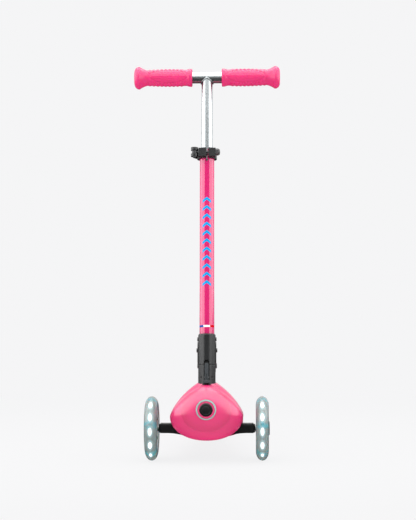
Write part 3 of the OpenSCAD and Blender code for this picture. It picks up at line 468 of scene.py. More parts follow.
def finishes():
    """Every finish, by the record's slot."""
    scene = bpy.context.scene
    shell, column = scene.scooter_shell, scene.scooter_column
    grip, wheel = scene.scooter_grip, scene.scooter_wheel
    black, tyre = tuple(column.black), tuple(wheel.tyre)
    steel = (0.56, 0.57, 0.59)
    return {
        "pink_shell": finish("Pink moulding", tuple(shell.colour), 0.34, (1500.0, 0.10), 0.00010,
                             (0.0008, 0.1), dust=0.0, scratch=0.03, drift=0.03, coat=(1.0, 1.75, 0.34),
                             specular=0.0, subsurface=0.05, extra=oval_crease_and_painted_shade),
        "pink_tread": finish("Pink tread", tuple(shell.tread_colour), 0.62, (1300.0, 0.5), 0.0002,
                             (0.0005, 0.4), dust=0.35, extra=tread_rows),
        "pink_paint": finish("Pink powder coat", tuple(column.paint), 0.26, (1700.0, 0.12), 0.00002,
                             (0.0004, 0.1), dust=0.0, scratch=0.02, drift=0.02, coat=(1.0, 1.7, 0.12),
                             specular=0.0),
        "pink_grip": finish("Pink soft rubber", tuple(grip.colour), 0.42, (1400.0, 0.35), 0.00016,
                            (0.0008, 0.15), dust=0.0, scratch=0.0, drift=0.04, coat=(0.7, 1.5, 0.30),
                            specular=0.1, subsurface=0.15, extra=knurl),
        "black_plastic": finish("Black nylon", black, 0.29, (1500.0, 0.30), 0.00005, (0.0015, 0.1),
                                worn=(0.03, 0.03, 0.032), dust=0.0, scratch=0.06, drift=0.04),
        "black_beam": finish("Black beam nylon", black, 0.42, (1300.0, 0.30), 0.00012, (0.0055, 0.10),
                             worn=(0.03, 0.03, 0.032), dust=0.02, scratch=0.15, specular=0.3),
        "grey_ring": finish("Grey ring", (0.17, 0.25, 0.235), 0.4, dust=0.0, scratch=0.05),
        "polished_alloy": finish("Satin alloy", (0.42, 0.45, 0.46), 0.25, (2200.0, 0.05), 0.00001,
                                 (0.0004, 0.1), dust=0.0, scratch=0.02, metallic=1.0, drift=0.02),
        "zinc_steel": finish("Bright zinc", steel, 0.30, (1900.0, 0.12), 0.00006, (0.0004, 0.5),
                             worn=(0.75, 0.75, 0.76), metallic=1.0, lines=(300.0, 900.0, 900.0)),
        "black_steel": finish("Black oxide steel", (0.03, 0.03, 0.032), 0.36, (1800.0, 0.2), 0.00008,
                              (0.0005, 0.9), worn=(0.45, 0.43, 0.40), metallic=0.4),
        "spring_steel": finish("Oiled spring steel", (0.36, 0.36, 0.38), 0.27, (1500.0, 0.1), 0.00006,
                               (0.0003, 0.3), metallic=1.0),
        "bearing_steel": finish("Ground bearing steel", (0.62, 0.63, 0.65), 0.2, (1500.0, 0.05), 0.00004,
                                (0.0003, 0.3), metallic=1.0, lines=(60.0, 900.0, 900.0)),
        "natural_nylon": finish("Natural nylon", (0.62, 0.59, 0.50), 0.45, (1200.0, 0.3)),
        "dark_nylon": finish("Dark nylon", (0.05, 0.052, 0.056), 0.5, (1200.0, 0.3)),
        "magnet": finish("Nickel-plated magnet", (0.30, 0.29, 0.28), 0.25, (1600.0, 0.1), metallic=1.0),
        "rear_tyre": finish("Clear rear tyre", tyre, 0.36, (1200.0, 0.3), 0.0001, (0.0006, 0.2), dust=0.2,
                            subsurface=0.4, coat=(0.1, 1.5, 0.12)),
        "white_core": finish("White core", (0.34, 0.38, 0.39), 0.33, (1500.0, 0.15), 0.0001, (0.0005, 0.3),
                             dust=0.12, subsurface=0.3),
        "black_core": finish("Black core", (0.02, 0.02, 0.022), 0.38, (1500.0, 0.3), dust=0.2),
        "light": finish("Light diffuser", (0.90, 0.95, 0.98), 0.4, dust=0.0, extra=diffuser),
        "circuit_board": finish("Potted coil", (0.02, 0.11, 0.05), 0.28, (900.0, 0.6), 0.0003,
                                coat=(0.4, 1.5, 0.12)),
    }


def diffuser(net, shader, surface, roughness, height):
    where = net.add("ShaderNodeTexCoord").outputs["Object"]
    shade = net.span(net.noise(where, 220.0, 2.0), 0.3, 0.7)
    net.tree.links.new(net.mix(shade, (0.60, 0.72, 0.80), tuple(bpy.context.scene.scooter_wheel.glow)),
                       shader.inputs["Emission Color"])
    shader.inputs["Emission Strength"].default_value = bpy.context.scene.scooter_wheel.strength
    return surface, roughness, height


# ---------- mesh tools ----------

def piece(name, body, slot, parts, place_by=None, replaces=(), angle=35, material=None):
    """One mesh from (points, faces) parts, put in its place, riding on its body with its finish."""
    points, faces = [], []
    for some, those in parts:
        start = len(points)
        points.extend(some)
        faces.extend([tuple(start + i for i in face) for face in those])
    mesh = bpy.data.meshes.new(name)
    mesh.from_pydata([tuple(p) for p in points], [], faces)
    obj = bpy.data.objects.new(name, mesh)
    bpy.context.collection.objects.link(obj)
    if place_by is not None:
        mesh.transform(place_by)
    tidy(obj, angle)
    mesh.materials.append(material or finishes()[slot])
    if body:
        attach(obj, body)
        if replaces:
            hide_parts(*replaces)
    return obj


def tidy(obj, angle=35):
    """Welds doubles, turns faces outwards and shades smooth but for sharp edges."""
    work = bmesh.new()
    work.from_mesh(obj.data)
    bmesh.ops.remove_doubles(work, verts=work.verts, dist=1e-6)
    bmesh.ops.recalc_face_normals(work, faces=work.faces)
    work.to_mesh(obj.data)
    work.free()
    obj.data.shade_smooth()
    obj.data.set_sharp_from_angle(angle=math.radians(angle))


def settle(obj):
    """Applies an object's modifiers to its mesh."""
    graph = bpy.context.evaluated_depsgraph_get()
    mesh = bpy.data.meshes.new_from_object(obj.evaluated_get(graph))
    obj.modifiers.clear()
    old, obj.data = obj.data, mesh
    bpy.data.meshes.remove(old)


def carve(obj, cutters):
    """Cuts each part out of a mesh, in the mesh's own axes."""
    tools = []
    for index, (points, faces) in enumerate(cutters):
        mesh = bpy.data.meshes.new(f"cutter_{index}")
        mesh.from_pydata([tuple(p) for p in points], [], faces)
        tool = bpy.data.objects.new(mesh.name, mesh)
        bpy.context.collection.objects.link(tool)
        tidy(tool)
        cut = obj.modifiers.new(mesh.name, "BOOLEAN")
        cut.operation, cut.solver, cut.object = "DIFFERENCE", "EXACT", tool
        tools.append(tool)
    bpy.context.view_layer.update()
    settle(obj)
    for tool in tools:
        mesh = tool.data
        bpy.data.objects.remove(tool)
        bpy.data.meshes.remove(mesh)


def moved(part, matrix):
    points, faces = part
    return [matrix @ Vector(p) for p in points], faces


def loft(rings, closed=True):
    """A skin over rings that all have the same number of points, with flat ends."""
    count = len(rings[0])
    faces = []
    for start in range(0, (len(rings) - 1) * count, count):
        for j in range(count):
            after = (j + 1) % count
            faces.append((start + j, start + after, start + count + after, start + count + j))
    if closed:
        faces.append(tuple(range(count - 1, -1, -1)))
        faces.append(tuple((len(rings) - 1) * count + j for j in range(count)))
    return [p for ring in rings for p in ring], faces


def lathe(outline, steps=96, closed=False):
    """An outline of (height, radius) turned about Z. A closed outline makes a ring."""
    rings = [[(r * math.cos(2 * math.pi * k / steps), r * math.sin(2 * math.pi * k / steps), z)
              for k in range(steps)] for z, r in outline]
    if closed:
        rings.append(rings[0])
    return loft(rings, closed=not closed)


def box(low, high):
    (a, b, c), (d, e, f) = low, high
    return loft([[(a, b, z), (d, b, z), (d, e, z), (a, e, z)] for z in (c, f)])


def prism(outline, low, high):
    return loft([[(x, y, z) for x, y in outline] for z in (low, high)])


def rod(r, low, high, steps=48):
    return lathe([(low, r), (high, r)], steps)


def mix(a, b, t):
    return a + (b - a) * t


def ramp(x, a, b):
    t = max(0.0, min(1.0, (x - a) / (b - a)))
    return t * t * (3 - 2 * t)


def powered(c, n):
    return math.copysign(abs(c) ** (2 / n), c)


# ---------- the nose and deck's form ----------

def half_width(d):
    front = mix(NOSE_W, DECK_W, ramp(d, 0, 110)) / 2
    waist = mix(front, WAIST_W / 2, ramp(d, 100, WHEELBASE - 50))
    return mix(waist, TAIL_W / 2, ramp(d, TAIL_START, WHEELBASE - 30))


def widest_z(d):
    front = mix(NOSE_WIDEST, (DECK_TOP + DECK_BOTTOM) / 2, ramp(d, 5, 125))
    return mix(front, (TAIL_TOP + TAIL_BOTTOM) / 2, ramp(d, TAIL_START, WHEELBASE - 25))


def top_z(d):
    front = mix(NOSE_TOP - NOSE_FALL * ramp(-d, 4, NOSE_RIM), DECK_TOP, ramp(d, 24, 136) ** 0.75)
    return mix(front, TAIL_TOP, ramp(d, TAIL_START, WHEELBASE - 35))


def bottom_z(d):
    front = mix(NOSE_BOTTOM, DECK_BOTTOM, ramp(d, 0, 60))
    return mix(front, TAIL_BOTTOM, ramp(d, TAIL_START + 15, WHEELBASE - 15))


def cap(s):
    return (1 - (1 - max(0.0008, min(1.0, s))) ** 2.2) ** (1 / 2.2)


def swell(d):
    return min(cap((d + NOSE_FRONT) / (NOSE_FRONT - NOSE_RIM)), cap((TAIL_END - d) / 12))


def section(d, inset, count, shape):
    """The deck's cross-section at a distance behind the front axle."""
    s, wide, zm = swell(shape), half_width(d) - inset, widest_z(d)
    z0 = mix(NOSE_TIP, zm, s) if d < WHEELBASE / 2 else zm
    up, down = top_z(d) - zm - inset, zm - bottom_z(d) - inset
    top, low = mix(NOSE_POWER, 5, ramp(d, 55, 136)), mix(2.1, 5, ramp(d, -10, 70))
    crown = 0.08 * (1 - ramp(d, 40, 110))
    ring = []
    for k in range(count):
        a = 2 * math.pi * k / count
        upper = math.sin(a) >= 0
        u = powered(math.cos(a), top if upper else low)
        v = powered(math.sin(a), low)
        if upper:
            v = (1 - math.hypot(u, crown * math.sqrt(max(0.0, 1 - u * u))) ** top) ** (1 / top)
        ring.append((s * wide * u, z0 + s * (up if upper else down) * v))
    return ring


def even(ring, count):
    """Spaces a closed outline's points evenly."""
    steps = [0.0]
    for a, b in zip(ring, ring[1:] + ring[:1]):
        steps.append(steps[-1] + math.dist(a, b))
    out, i = [], 0
    for k in range(count):
        want = steps[-1] * k / count
        while steps[i + 1] < want:
            i += 1
        t = (want - steps[i]) / max(1e-9, steps[i + 1] - steps[i])
        a, b = ring[i], ring[(i + 1) % len(ring)]
        out.append((mix(a[0], b[0], t), mix(a[1], b[1], t)))
    return out


def outer_skin(crease, count=176):
    stations = [-NOSE_FRONT + (NOSE_FRONT - NOSE_RIM) * (i / 26) ** 2 for i in range(26)]
    stations += [-NOSE_RIM + 4 * i for i in range(46)]
    stations += [mix(160, TAIL_START - 3, i / 16) for i in range(1, 17)]
    stations += [mix(TAIL_START - 3, TAIL_END - 12, i / 20) for i in range(1, 21)]
    stations += [TAIL_END - 12 * (1 - i / 8) ** 2 for i in range(1, 9)]
    rings = []
    for d in stations:
        ring = []
        for x, z in even(section(max(d, -NOSE_RIM), 0, 720, d), count):
            reach = math.hypot(x / 47, (z - OVAL_MIDDLE) / 40)
            proud = crease * (1 - ramp(reach, 0.90, 1.02)) if d < -NOSE_RIM else 0
            ring.append((x, d - proud, z))
        rings.append(ring)
    return loft(rings)


def inner_skin(count=64):
    shrink = (NOSE_FRONT - NOSE_RIM - WALL) / (NOSE_FRONT - NOSE_RIM)
    places = [(-NOSE_RIM - (NOSE_FRONT - NOSE_RIM) * (1 - (i / 12) ** 2), shrink) for i in range(12)]
    places += [(-NOSE_RIM + 8 * i, 1) for i in range(24)]
    places += [(mix(160, TAIL_START - 3, i / 10), 1) for i in range(1, 11)]
    places += [(SLOT_FRONT - 7, 1)]
    rings = []
    for d, near in places:
        y = -NOSE_RIM + (d + NOSE_RIM) * near if d < -NOSE_RIM else d
        rings.append([(x, y, z) for x, z in even(section(max(d, -NOSE_RIM), WALL, 360, d), count)])
    return loft(rings)


def plan(d0, d1, margin, steps=48):
    """Outline of the deck seen from above, inside its edge by a margin, with rounded corners."""
    side = []
    for i in range(steps + 1):
        d = mix(d0, d1, (1 - math.cos(math.pi * i / steps)) / 2)
        e, r = min(d - d0, d1 - d), 16
        side.append((half_width(d) - margin - (r - math.sqrt(r * r - (r - e) ** 2) if e < r else 0), d))
    return side + [(-x, d) for x, d in reversed(side)]


def neck_outline(grow=0.0, steps=32, step=NECK_STEP):
    """Two half circles, a little apart, joined by straight sides."""
    r = NECK_HALF_W + grow
    ends = []
    for sign in (1, -1):
        for k in range(steps + 1):
            a = math.pi * k / steps
            ends.append((sign * r * math.cos(a), sign * (step + r * math.sin(a))))
    return ends


class SCOOTER_OT_deck_moulding(bpy.types.Operator):
    """Nose and deck as one smooth moulding, opened for the beam, button, neck, tread and rear wheel"""
    bl_idname = "scooter.deck_moulding"
    bl_label = "Nose and deck"

    def execute(self, context):
        crease = context.scene.scooter_shell.crease / MM
        deck = piece("deck_moulding", None, "pink_shell", [outer_skin(crease)])
        column = BASE.inverted() @ COLUMN
        inside, outside = RING_GROOVE_R
        groove = [(-NOSE_FRONT - 10, outside), (-NOSE_FRONT + 3.5, outside), (-NOSE_FRONT + 3.5, inside),
                  (-NOSE_FRONT - 10, inside)]
        face = Matrix.Translation((0, 0, BUTTON_Z)) @ ALONG_Y
        cutters = [
            inner_skin(),
            prism(plan(BULKHEAD + 2, SLOT_FRONT - 9, 8), -10, DECK_BOTTOM + 7),
            box((-80, BAY[0], -5), (80, BAY[1], BAY[2])),
            box((-SLOT_W / 2, SLOT_FRONT, 0), (SLOT_W / 2, WHEELBASE + 60, 120)),
            prism(plan(PAD[0], PAD[1], PAD[3]), PAD[2], PAD[2] + 30),
            moved(rod(BUTTON_R + 0.3, -NOSE_FRONT - 10, -34, 96), face),
            moved(lathe(groove, 96, closed=True), face),
            moved(prism(neck_outline(0.3), -57.3, 32.7), column),
            moved(box((-7.8, -NECK_HALF - 22.7, -38.4), (7.8, -NECK_HALF + 4.5, 1.6)), column),
            moved(rod(4.05, -60, 60), BASE.inverted() @ REAR_AXLE @ ALONG_X),
            moved(rod(2.55, -60, 60), BASE.inverted() @ BRAKE_PIN @ ALONG_X),
        ]
        carve(deck, cutters)
        deck.data.transform(BASE)
        tidy(deck, 32)
        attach(deck, "deck")
        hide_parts("deck_shell")
        return {"FINISHED"}


class SCOOTER_OT_deck_ribs(bpy.types.Operator):
    """Ribs, bosses and webs moulded inside the nose and under the deck"""
    bl_idname = "scooter.deck_ribs"
    bl_label = "Ribs and bosses"

    def execute(self, context):
        parts = []

        def rib(d, thick):
            low = bottom_z(d) + 1.5
            outline = [(x, max(z, low)) for x, z in even(section(d, WALL / 2, 360, d), 72)]
            parts.append(loft([[(x, y, z) for x, z in outline] for y in (d - thick / 2, d + thick / 2)]))

        rib(BULKHEAD, 4)
        rib(SLOT_FRONT - 6, 5)
        d = 84
        while d <= SLOT_FRONT - 30:
            rib(d, 3)
            d += 50
        for x in (-22, 0, 22):
            reach = (SLOT_FRONT - BULKHEAD) * (0.98 if x == 0 else 0.75)
            parts.append(box((x - 1.5, BULKHEAD, DECK_BOTTOM + 2), (x + 1.5, BULKHEAD + reach, DECK_TOP - 3)))
        for outline, half in (([(-19.8, 19.8), (0, 21.2), (14, 38), (14, 62), (-15, 62), (-15, 26)], 6),
                              ([(14, -21.8), (BULKHEAD, -21.8), (BULKHEAD, 12), (21.6, 0.3), (14, -10)], 7)):
            web = loft([[(x, y, KING_Z + z) for y, z in outline] for x in (-half, half)])
            parts.append(web)
        for side in (-1, 1):
            x = side * SPRING_X
            parts.append(box((x - 9, -9, SPRING_Z[1]), (x + 9, BULKHEAD, SPRING_Z[1] + 3)))
        ring = [(-NOSE_FRONT + 3, BUTTON_R + 3.4), (-31, BUTTON_R + 3.4), (-31, 4.3), (-34, 4.3),
                (-34, BUTTON_R + 0.3), (-NOSE_FRONT + 3, BUTTON_R + 0.3)]
        parts.append(moved(lathe(ring, 72, closed=True), Matrix.Translation((0, 0, BUTTON_Z)) @ ALONG_Y))
        king = BASE.inverted() @ KINGPIN
        for low, high in ((14.3, 30.3), (-24.3, -14.3)):
            bore, out = KING_R
            boss = lathe([(low, out), (high, out), (high, bore), (low, bore)], 64, closed=True)
            parts.append(moved(boss, king))
        column = BASE.inverted() @ COLUMN
        wall = [neck_outline(3.0), neck_outline(0.3)]
        rings = [[(x, y, z) for x, y in wall[k]] for k, z in ((0, -62), (0, -42), (1, -42), (1, -57.3))]
        parts.append(moved(loft(rings), column))
        piece("deck_ribs", "deck", "pink_shell", parts, BASE)
        return {"FINISHED"}


class SCOOTER_OT_tread_pad(bpy.types.Operator):
    """Soft tread pad with rows of small slanting studs"""
    bl_idname = "scooter.tread_pad"
    bl_label = "Tread pad"

    def execute(self, context):
        height = context.scene.scooter_shell.stud / MM
        front, back, floor, margin = PAD
        top = floor + 2.3
        outline = [plan(front + 0.3, back - 0.3, margin + 0.3 + inset) for inset in (0, 0, 0.25, 0.8, 1.6)]
        levels = (floor, top - 0.8, top - 0.25, top, top)
        rings = [[(x, y, z) for x, y in ring] for ring, z in zip(outline, levels)]
        parts = [loft(rings)]
        row, d = 0, front + 9
        while d < back - 8:
            wide = half_width(d) - margin - 6
            count = int(wide // STUD_PITCH[0])
            for k in range(-count, count + 1):
                x = STUD_PITCH[0] * (k + (0.5 if row % 2 else 0))
                if abs(x) > wide or min(d - front, back - d) < 12 and abs(x) > wide - 12:
                    continue
                lean = math.radians(38 if (row + (x < 0)) % 2 else -38)
                spot = Matrix.Translation((x, d, top - 0.1)) @ Matrix.Rotation(lean, 4, "Z")
                stud = [[(u * 3.0 * math.cos(a), u * 1.25 * math.sin(a), z)
                         for a in [2 * math.pi * j / 12 for j in range(12)]]
                        for u, z in ((1.0, 0.0), (0.92, height * 0.8 + 0.1), (0.75, height + 0.1))]
                parts.append(moved(loft(stud), spot))
            d += STUD_PITCH[1]
            row += 1
        piece("tread", "deck", "pink_tread", parts, BASE, ("tread_pad",))
        return {"FINISHED"}


class SCOOTER_OT_lock(bpy.types.Operator):
    """Domed lock button with its ring"""
    bl_idname = "scooter.lock"
    bl_label = "Steering lock"

    def execute(self, context):
        face = BASE @ Matrix.Translation((0, 0, BUTTON_Z)) @ ALONG_Y
        front = -NOSE_FRONT - 2.2
        outline = [(-46, 0.01), (-46, BUTTON_R)]
        outline += [(-NOSE_FRONT - 0.2 - 1.4 * math.sin(a), BUTTON_R - 2.4 + 2.4 * math.cos(a))
                    for a in [math.pi * k / 20 for k in range(0, 10)]]
        outline += [(-NOSE_FRONT - 1.75, 8.6), (-NOSE_FRONT - 1.45, 8.2), (-NOSE_FRONT - 1.5, 7.2)]
        for k in range(1, 5):
            a = math.pi / 2 * k / 5
            outline.append((mix(-NOSE_FRONT - 1.5, front, math.sin(a)), 7.2 * math.cos(a)))
        outline.append((front, 0.01))
        piece("button", "lock", "black_plastic", [lathe(outline, 96)], face, ("lock_button",))
        inside, outside = RING_R
        ring = [(-NOSE_FRONT + 3.4, outside), (-NOSE_FRONT + 0.7, outside), (-NOSE_FRONT + 0.35, 18.5),
                (-NOSE_FRONT + 0.25, 17.5), (-NOSE_FRONT + 0.35, 16.5), (-NOSE_FRONT + 0.7, inside),
                (-NOSE_FRONT + 3.4, inside)]
        piece("ring", "deck", "grey_ring", [lathe(ring, 128, closed=True)], face, ("button_ring",))
        return {"FINISHED"}


def coil(r, height, turns, wire, sides=10, steps=32):
    """A spring of round wire, wound at an even pitch."""
    total = int(turns * steps)
    rings = []
    for i in range(total + 1):
        t = i / total
        z = height * t
        a = 2 * math.pi * turns * t
        out = Vector((math.cos(a), math.sin(a), 0))
        rings.append([tuple(out * (r + wire * math.cos(b)) + Vector((0, 0, z + wire * math.sin(b))))
                      for b in [2 * math.pi * k / sides for k in range(sides)]])
    return loft(rings)


class SCOOTER_OT_springs(bpy.types.Operator):
    """Steering springs, and the brake's return spring"""
    bl_idname = "scooter.springs"
    bl_label = "Springs"

    def execute(self, context):
        for side, name in ((-1, "left"), (1, "right")):
            place_by = BASE @ Matrix.Translation((side * SPRING_X, 0, SPRING_Z[0]))
            spring = coil(6, SPRING_Z[1] - SPRING_Z[0] - 1.2, 5, 1.1)
            piece(f"steer_coil_{name}", "deck", "spring_steel", [spring], place_by, (f"steer_spring_{name}",))
        leg = loft([[(3.7 + 0.5 * math.cos(b), -0.2 + y, 0.5 * math.sin(b)) for b in
                     [2 * math.pi * k / 8 for k in range(8)]] for y in (0, 4.2)])
        piece("brake_coil", "deck", "spring_steel", [coil(3.7, 5.2, 4, 0.5), leg],
              BRAKE_PIN @ Matrix.Translation((4.4, 0, 0)) @ ALONG_X, ("brake_spring",))
        return {"FINISHED"}


def screw_head(r, low, high, hexagon=0.5, depth=0.55, dome=0.35):
    """A low domed head with a six-sided socket, its face at high."""
    steps = 48
    up = 1 if high > low else -1
    tall = abs(high - low)
    circle = [(math.cos(2 * math.pi * k / steps), math.sin(2 * math.pi * k / steps)) for k in range(steps)]

    def six(k):
        a = (2 * math.pi * k / steps) % (math.pi / 3) - math.pi / 6
        return math.cos(math.pi / 6) / math.cos(a)
    rings = [[(r * x, r * y, low) for x, y in circle],
             [(r * x, r * y, low + up * tall * (1 - dome)) for x, y in circle]]
    for k in range(1, 6):
        a = math.pi / 2 * k / 6
        q = r * (1 - 0.30 * (1 - math.cos(a)))
        rings.append([(q * x, q * y, low + up * tall * (1 - dome + dome * math.sin(a))) for x, y in circle])
    rim = r * hexagon
    for grow, z in ((1.12, high), (1.0, high - up * 0.2), (1.0, high - up * tall * depth)):
        reach = [rim * grow * six(k) for k in range(steps)]
        rings.append([(q * x, q * y, z) for q, (x, y) in zip(reach, circle)])
    return loft(rings)


class SCOOTER_OT_fasteners(bpy.types.Operator):
    """Bolts and pins of the neck, column and wheels, with socket heads"""
    bl_idname = "scooter.fasteners"
    bl_label = "Bolts and pins"

    def execute(self, context):
        def across(name, body, frame_at, node, spots, shank, slot="zinc_steel"):
            parts = []
            for (y, z), r, inner, outer in spots:
                at = Matrix.Translation((0, y, z)) @ ALONG_X
                parts.append(moved(rod(shank, -inner - 0.2, inner + 0.2, 32), at))
                parts += [moved(screw_head(r, sign * inner, sign * outer), at) for sign in (-1, 1)]
            piece(name, body, slot, parts, frame_at, (node,))

        w = NECK_HALF_W
        across("neck_bolts", "deck", COLUMN, "base_bolts",
               [((y, BASE_BOLT_Z), 4.5, w + 3.1, w + 5.2) for y in (-9, 9)], 3)
        across("fold_pin", "deck", COLUMN, "hinge_pin", [((NECK_HALF - 5.25, 0), 5, w + 0.3, w + 2.3)], 3,
               "black_steel")
        across("tube_bolts", "column", COLUMN, "socket_bolts",
               [((0, z), 4, w + pad, w + pad + 2) for z, pad in zip(SOCKET_BOLT_Z, (1.5, 0.02))], 2.5,
               "black_steel")
        pin = Matrix.Translation((0, 4.45 - NECK_HALF, -24)) @ ALONG_X
        plugs = [moved(rod(1.5, low, low + 1.6, 24), pin) for low in (9.2, -10.8)]
        piece("pin_plugs", "deck", "black_plastic", plugs, COLUMN)
        parts = []
        for side in (-1, 1):
            at = Matrix.Translation((side * TRACK / 2, 0, FRONT_R)) @ Matrix.Rotation(
                math.radians(90 * side), 4, "Y")
            parts += [moved(rod(3.95, -44, 9, 40), at), moved(screw_head(6.6, 8.8, 12.0), at)]
        piece("wheel_bolts", "beam", "zinc_steel", parts, BASE, ("front_axles",))
        return {"FINISHED"}


# ---------- column and handlebar ----------

def wrapped(r, points):
    """Puts (arc, height) points, in millimetres, on the front of the tube."""
    return [(r * math.sin(u / TUBE_R), -r * math.cos(u / TUBE_R), z) for u, z in points]


class SCOOTER_OT_tube_marks(bpy.types.Operator):
    """Printed chevrons and a three-colour band on the lower tube"""
    bl_idname = "scooter.tube_marks"
    bl_label = "Tube marks"

    def execute(self, context):
        column = context.scene.scooter_column
        parts = []
        (low, high), steps = CHEVRONS_Z, 24
        pitch = (high - low) / column.chevrons
        for k in range(column.chevrons):
            z0 = low + pitch * (k + 0.15)
            us = [mix(-CHEVRON_HALF, CHEVRON_HALF, i / steps) for i in range(steps + 1)]
            edge = [(u, z0 + CHEVRON_RISE * (1 - abs(u) / CHEVRON_HALF)) for u in us]
            top = [(u, z + CHEVRON_TALL) for u, z in edge]
            points = wrapped(PRINT_R, edge) + wrapped(PRINT_R, top)
            faces = [(i, i + 1, steps + 2 + i, steps + 1 + i) for i in range(steps)]
            parts.append((points, faces))
        ink = finish("Cyan print", tuple(column.mark), 0.28, (1700.0, 0.1), 0.00006, (0.0002, 0.1),
                     coat=(0.3, 1.5, 0.15), specular=0.0)
        piece("chevrons", "column", "pink_paint", parts, COLUMN, material=ink)
        bands = (("blue", (0.0, 0.045, 0.19), -21.5, -6.4), ("white", (0.45, 0.46, 0.47), -6.4, 6.4),
                 ("red", (0.30, 0.002, 0.004), 6.4, 21.5))
        for name, tint, u0, u1 in bands:
            us = [mix(u0, u1, i / 12) for i in range(13)]
            points = [p for z in BAND_Z for p in wrapped(PRINT_R, [(u, z) for u in us])]
            faces = [(i, i + 1, 14 + i, 13 + i) for i in range(12)]
            ink = finish(f"Print {name}", tint, 0.28, (1700.0, 0.1), 0.00006, (0.0002, 0.1), specular=0.0)
            piece(f"band_{name}", "column", "pink_paint", [(points, faces)], COLUMN, material=ink)
        return {"FINISHED"}


class SCOOTER_OT_weld(bpy.types.Operator):
    """Rippled weld where the stem meets the crossbar"""
    bl_idname = "scooter.weld"
    bl_label = "Weld"

    def execute(self, context):
        rings = []
        steps, sides = 144, 14
        path = []
        for k in range(steps):
            a = 2 * math.pi * k / steps
            x, y = STEM_R * math.cos(a), STEM_R * math.sin(a)
            z = BAR_Z - STEM_R * math.sqrt(math.cos(a) ** 2 + 0.05) - 0.6
            path.append(Vector((x * 1.03, y * 1.03, z)))
        for k, at in enumerate(path):
            along = (path[(k + 1) % steps] - path[k - 1]).normalized()
            out = Vector((at.x, at.y, 0)).normalized()
            up = along.cross(out).normalized()
            r = 1.3 + 0.14 * math.sin(2 * math.pi * k / 4.5) + 0.08 * noise.noise(at * 0.3)
            rings.append([tuple(at + r * (math.cos(b) * out + math.sin(b) * up))
                          for b in [2 * math.pi * j / sides for j in range(sides)]])
        rings.append(rings[0])
        piece("weld_bead", "handlebar", "polished_alloy", [loft(rings, closed=False)], COLUMN)
        return {"FINISHED"}


def grip_radius(s, theta, ribs, tall):
    """Radius of a grip at a distance from its inner end and an angle from straight ahead."""
    l, r = GRIP_LEN, GRIP_R
    if s < 1:
        base = r + 1.4 * math.sin(math.pi / 2 * s)
    elif s < 4:
        base = r + 1.4
    elif s < 14:
        base = r + 1.4 - 1.7 * ramp(s, 4, 12)
    elif s < l - 28:
        t = (s - 14) / (l - 42)
        base = r - 0.3 + 0.9 * math.sin(math.pi * t) - 0.9 * t
    elif s < l - 10:
        base = mix(r - 1.2, FLARE_R, ((s - l + 28) / 18) ** 1.7)
    else:
        a = math.asin(min(1.0, (s - l + 10) / 10))
        base = mix(FLARE_R * 0.42, FLARE_R, math.cos(a) ** 0.8)
    arc = theta * r
    oval = math.hypot((s - 46) / 37, arc / 13.5)
    start, end = 17, l - 26
    inside = ramp(s, start - 3, start + 3) * (1 - ramp(s, end - 3, end + 3))
    wave = (0.5 - 0.5 * math.cos(2 * math.pi * (s - start) * ribs / (end - start))) ** 0.8
    behind = ramp(oval, 1.02, 1.16)
    bump = tall * wave * inside * behind
    groove = -0.45 * math.exp(-((oval - 1.0) / 0.035) ** 2) * (1 if s < 95 else 0)
    pad = 0.35 * (1 - ramp(oval, 0.90, 0.98))
    dots = 0.0
    if oval < 0.86:
        u, v = (s - 46) / 4.6, arc / 4.0
        row = round(v)
        shift = 0.5 if row % 2 else 0.0
        near = math.hypot((u - shift - round(u - shift)) * 4.6, (v - row) * 4.0)
        dots = 0.32 * (1 - ramp(near, 0.75, 1.25))
    return base + bump + groove + pad + dots


class SCOOTER_OT_grips(bpy.types.Operator):
    """Soft grips with finger ribs, a dotted oval pad and a flared, domed end"""
    bl_idname = "scooter.grips"
    bl_label = "Grips"

    def execute(self, context):
        grip = context.scene.scooter_grip
        around_, step = 200, 0.55
        stations = []
        s = 0.0
        while s < GRIP_LEN - 10:
            stations.append(s)
            s += step
        stations += [GRIP_LEN - 10 + 10 * math.sin(math.pi / 2 * k / 16) for k in range(17)]
        for side, name in ((-1, "left"), (1, "right")):
            rings = []
            inner = BAR_HALF - GRIP_LEN
            for s in [None] + stations:
                ring = []
                for k in range(around_):
                    theta = 2 * math.pi * k / around_
                    turn = theta if theta <= math.pi else theta - 2 * math.pi
                    r = STEM_R if s is None else grip_radius(s, turn, grip.ribs, grip.rib_height / MM)
                    x = side * (inner + (s or 0.0))
                    ring.append((x, -r * math.cos(theta), BAR_Z + r * math.sin(theta)))
                rings.append(ring)
            piece(f"soft_grip_{name}", "handlebar", "pink_grip", [loft(rings)], COLUMN,
                  (f"grip_{name}",), angle=60)
        return {"FINISHED"}


# ---------- wheels ----------

def tyre_outline(r, seat, w, steps=40):
    """A tyre's closed section as (offset across, radius)."""
    crown = [(w / 2 * math.sin(a), seat + 1.5 + (r - seat - 1.5) * math.cos(a))
             for a in [math.pi * (k / steps - 0.5) for k in range(steps + 1)]]
    seam = [(z, q + 0.16 * math.exp(-(z / 0.35) ** 2) * (q > seat + 5)) for z, q in crown]
    return [(-w / 2 + 1, seat), (-w / 2, seat + 0.8)] + seam + [(w / 2, seat + 0.8), (w / 2 - 1, seat)]


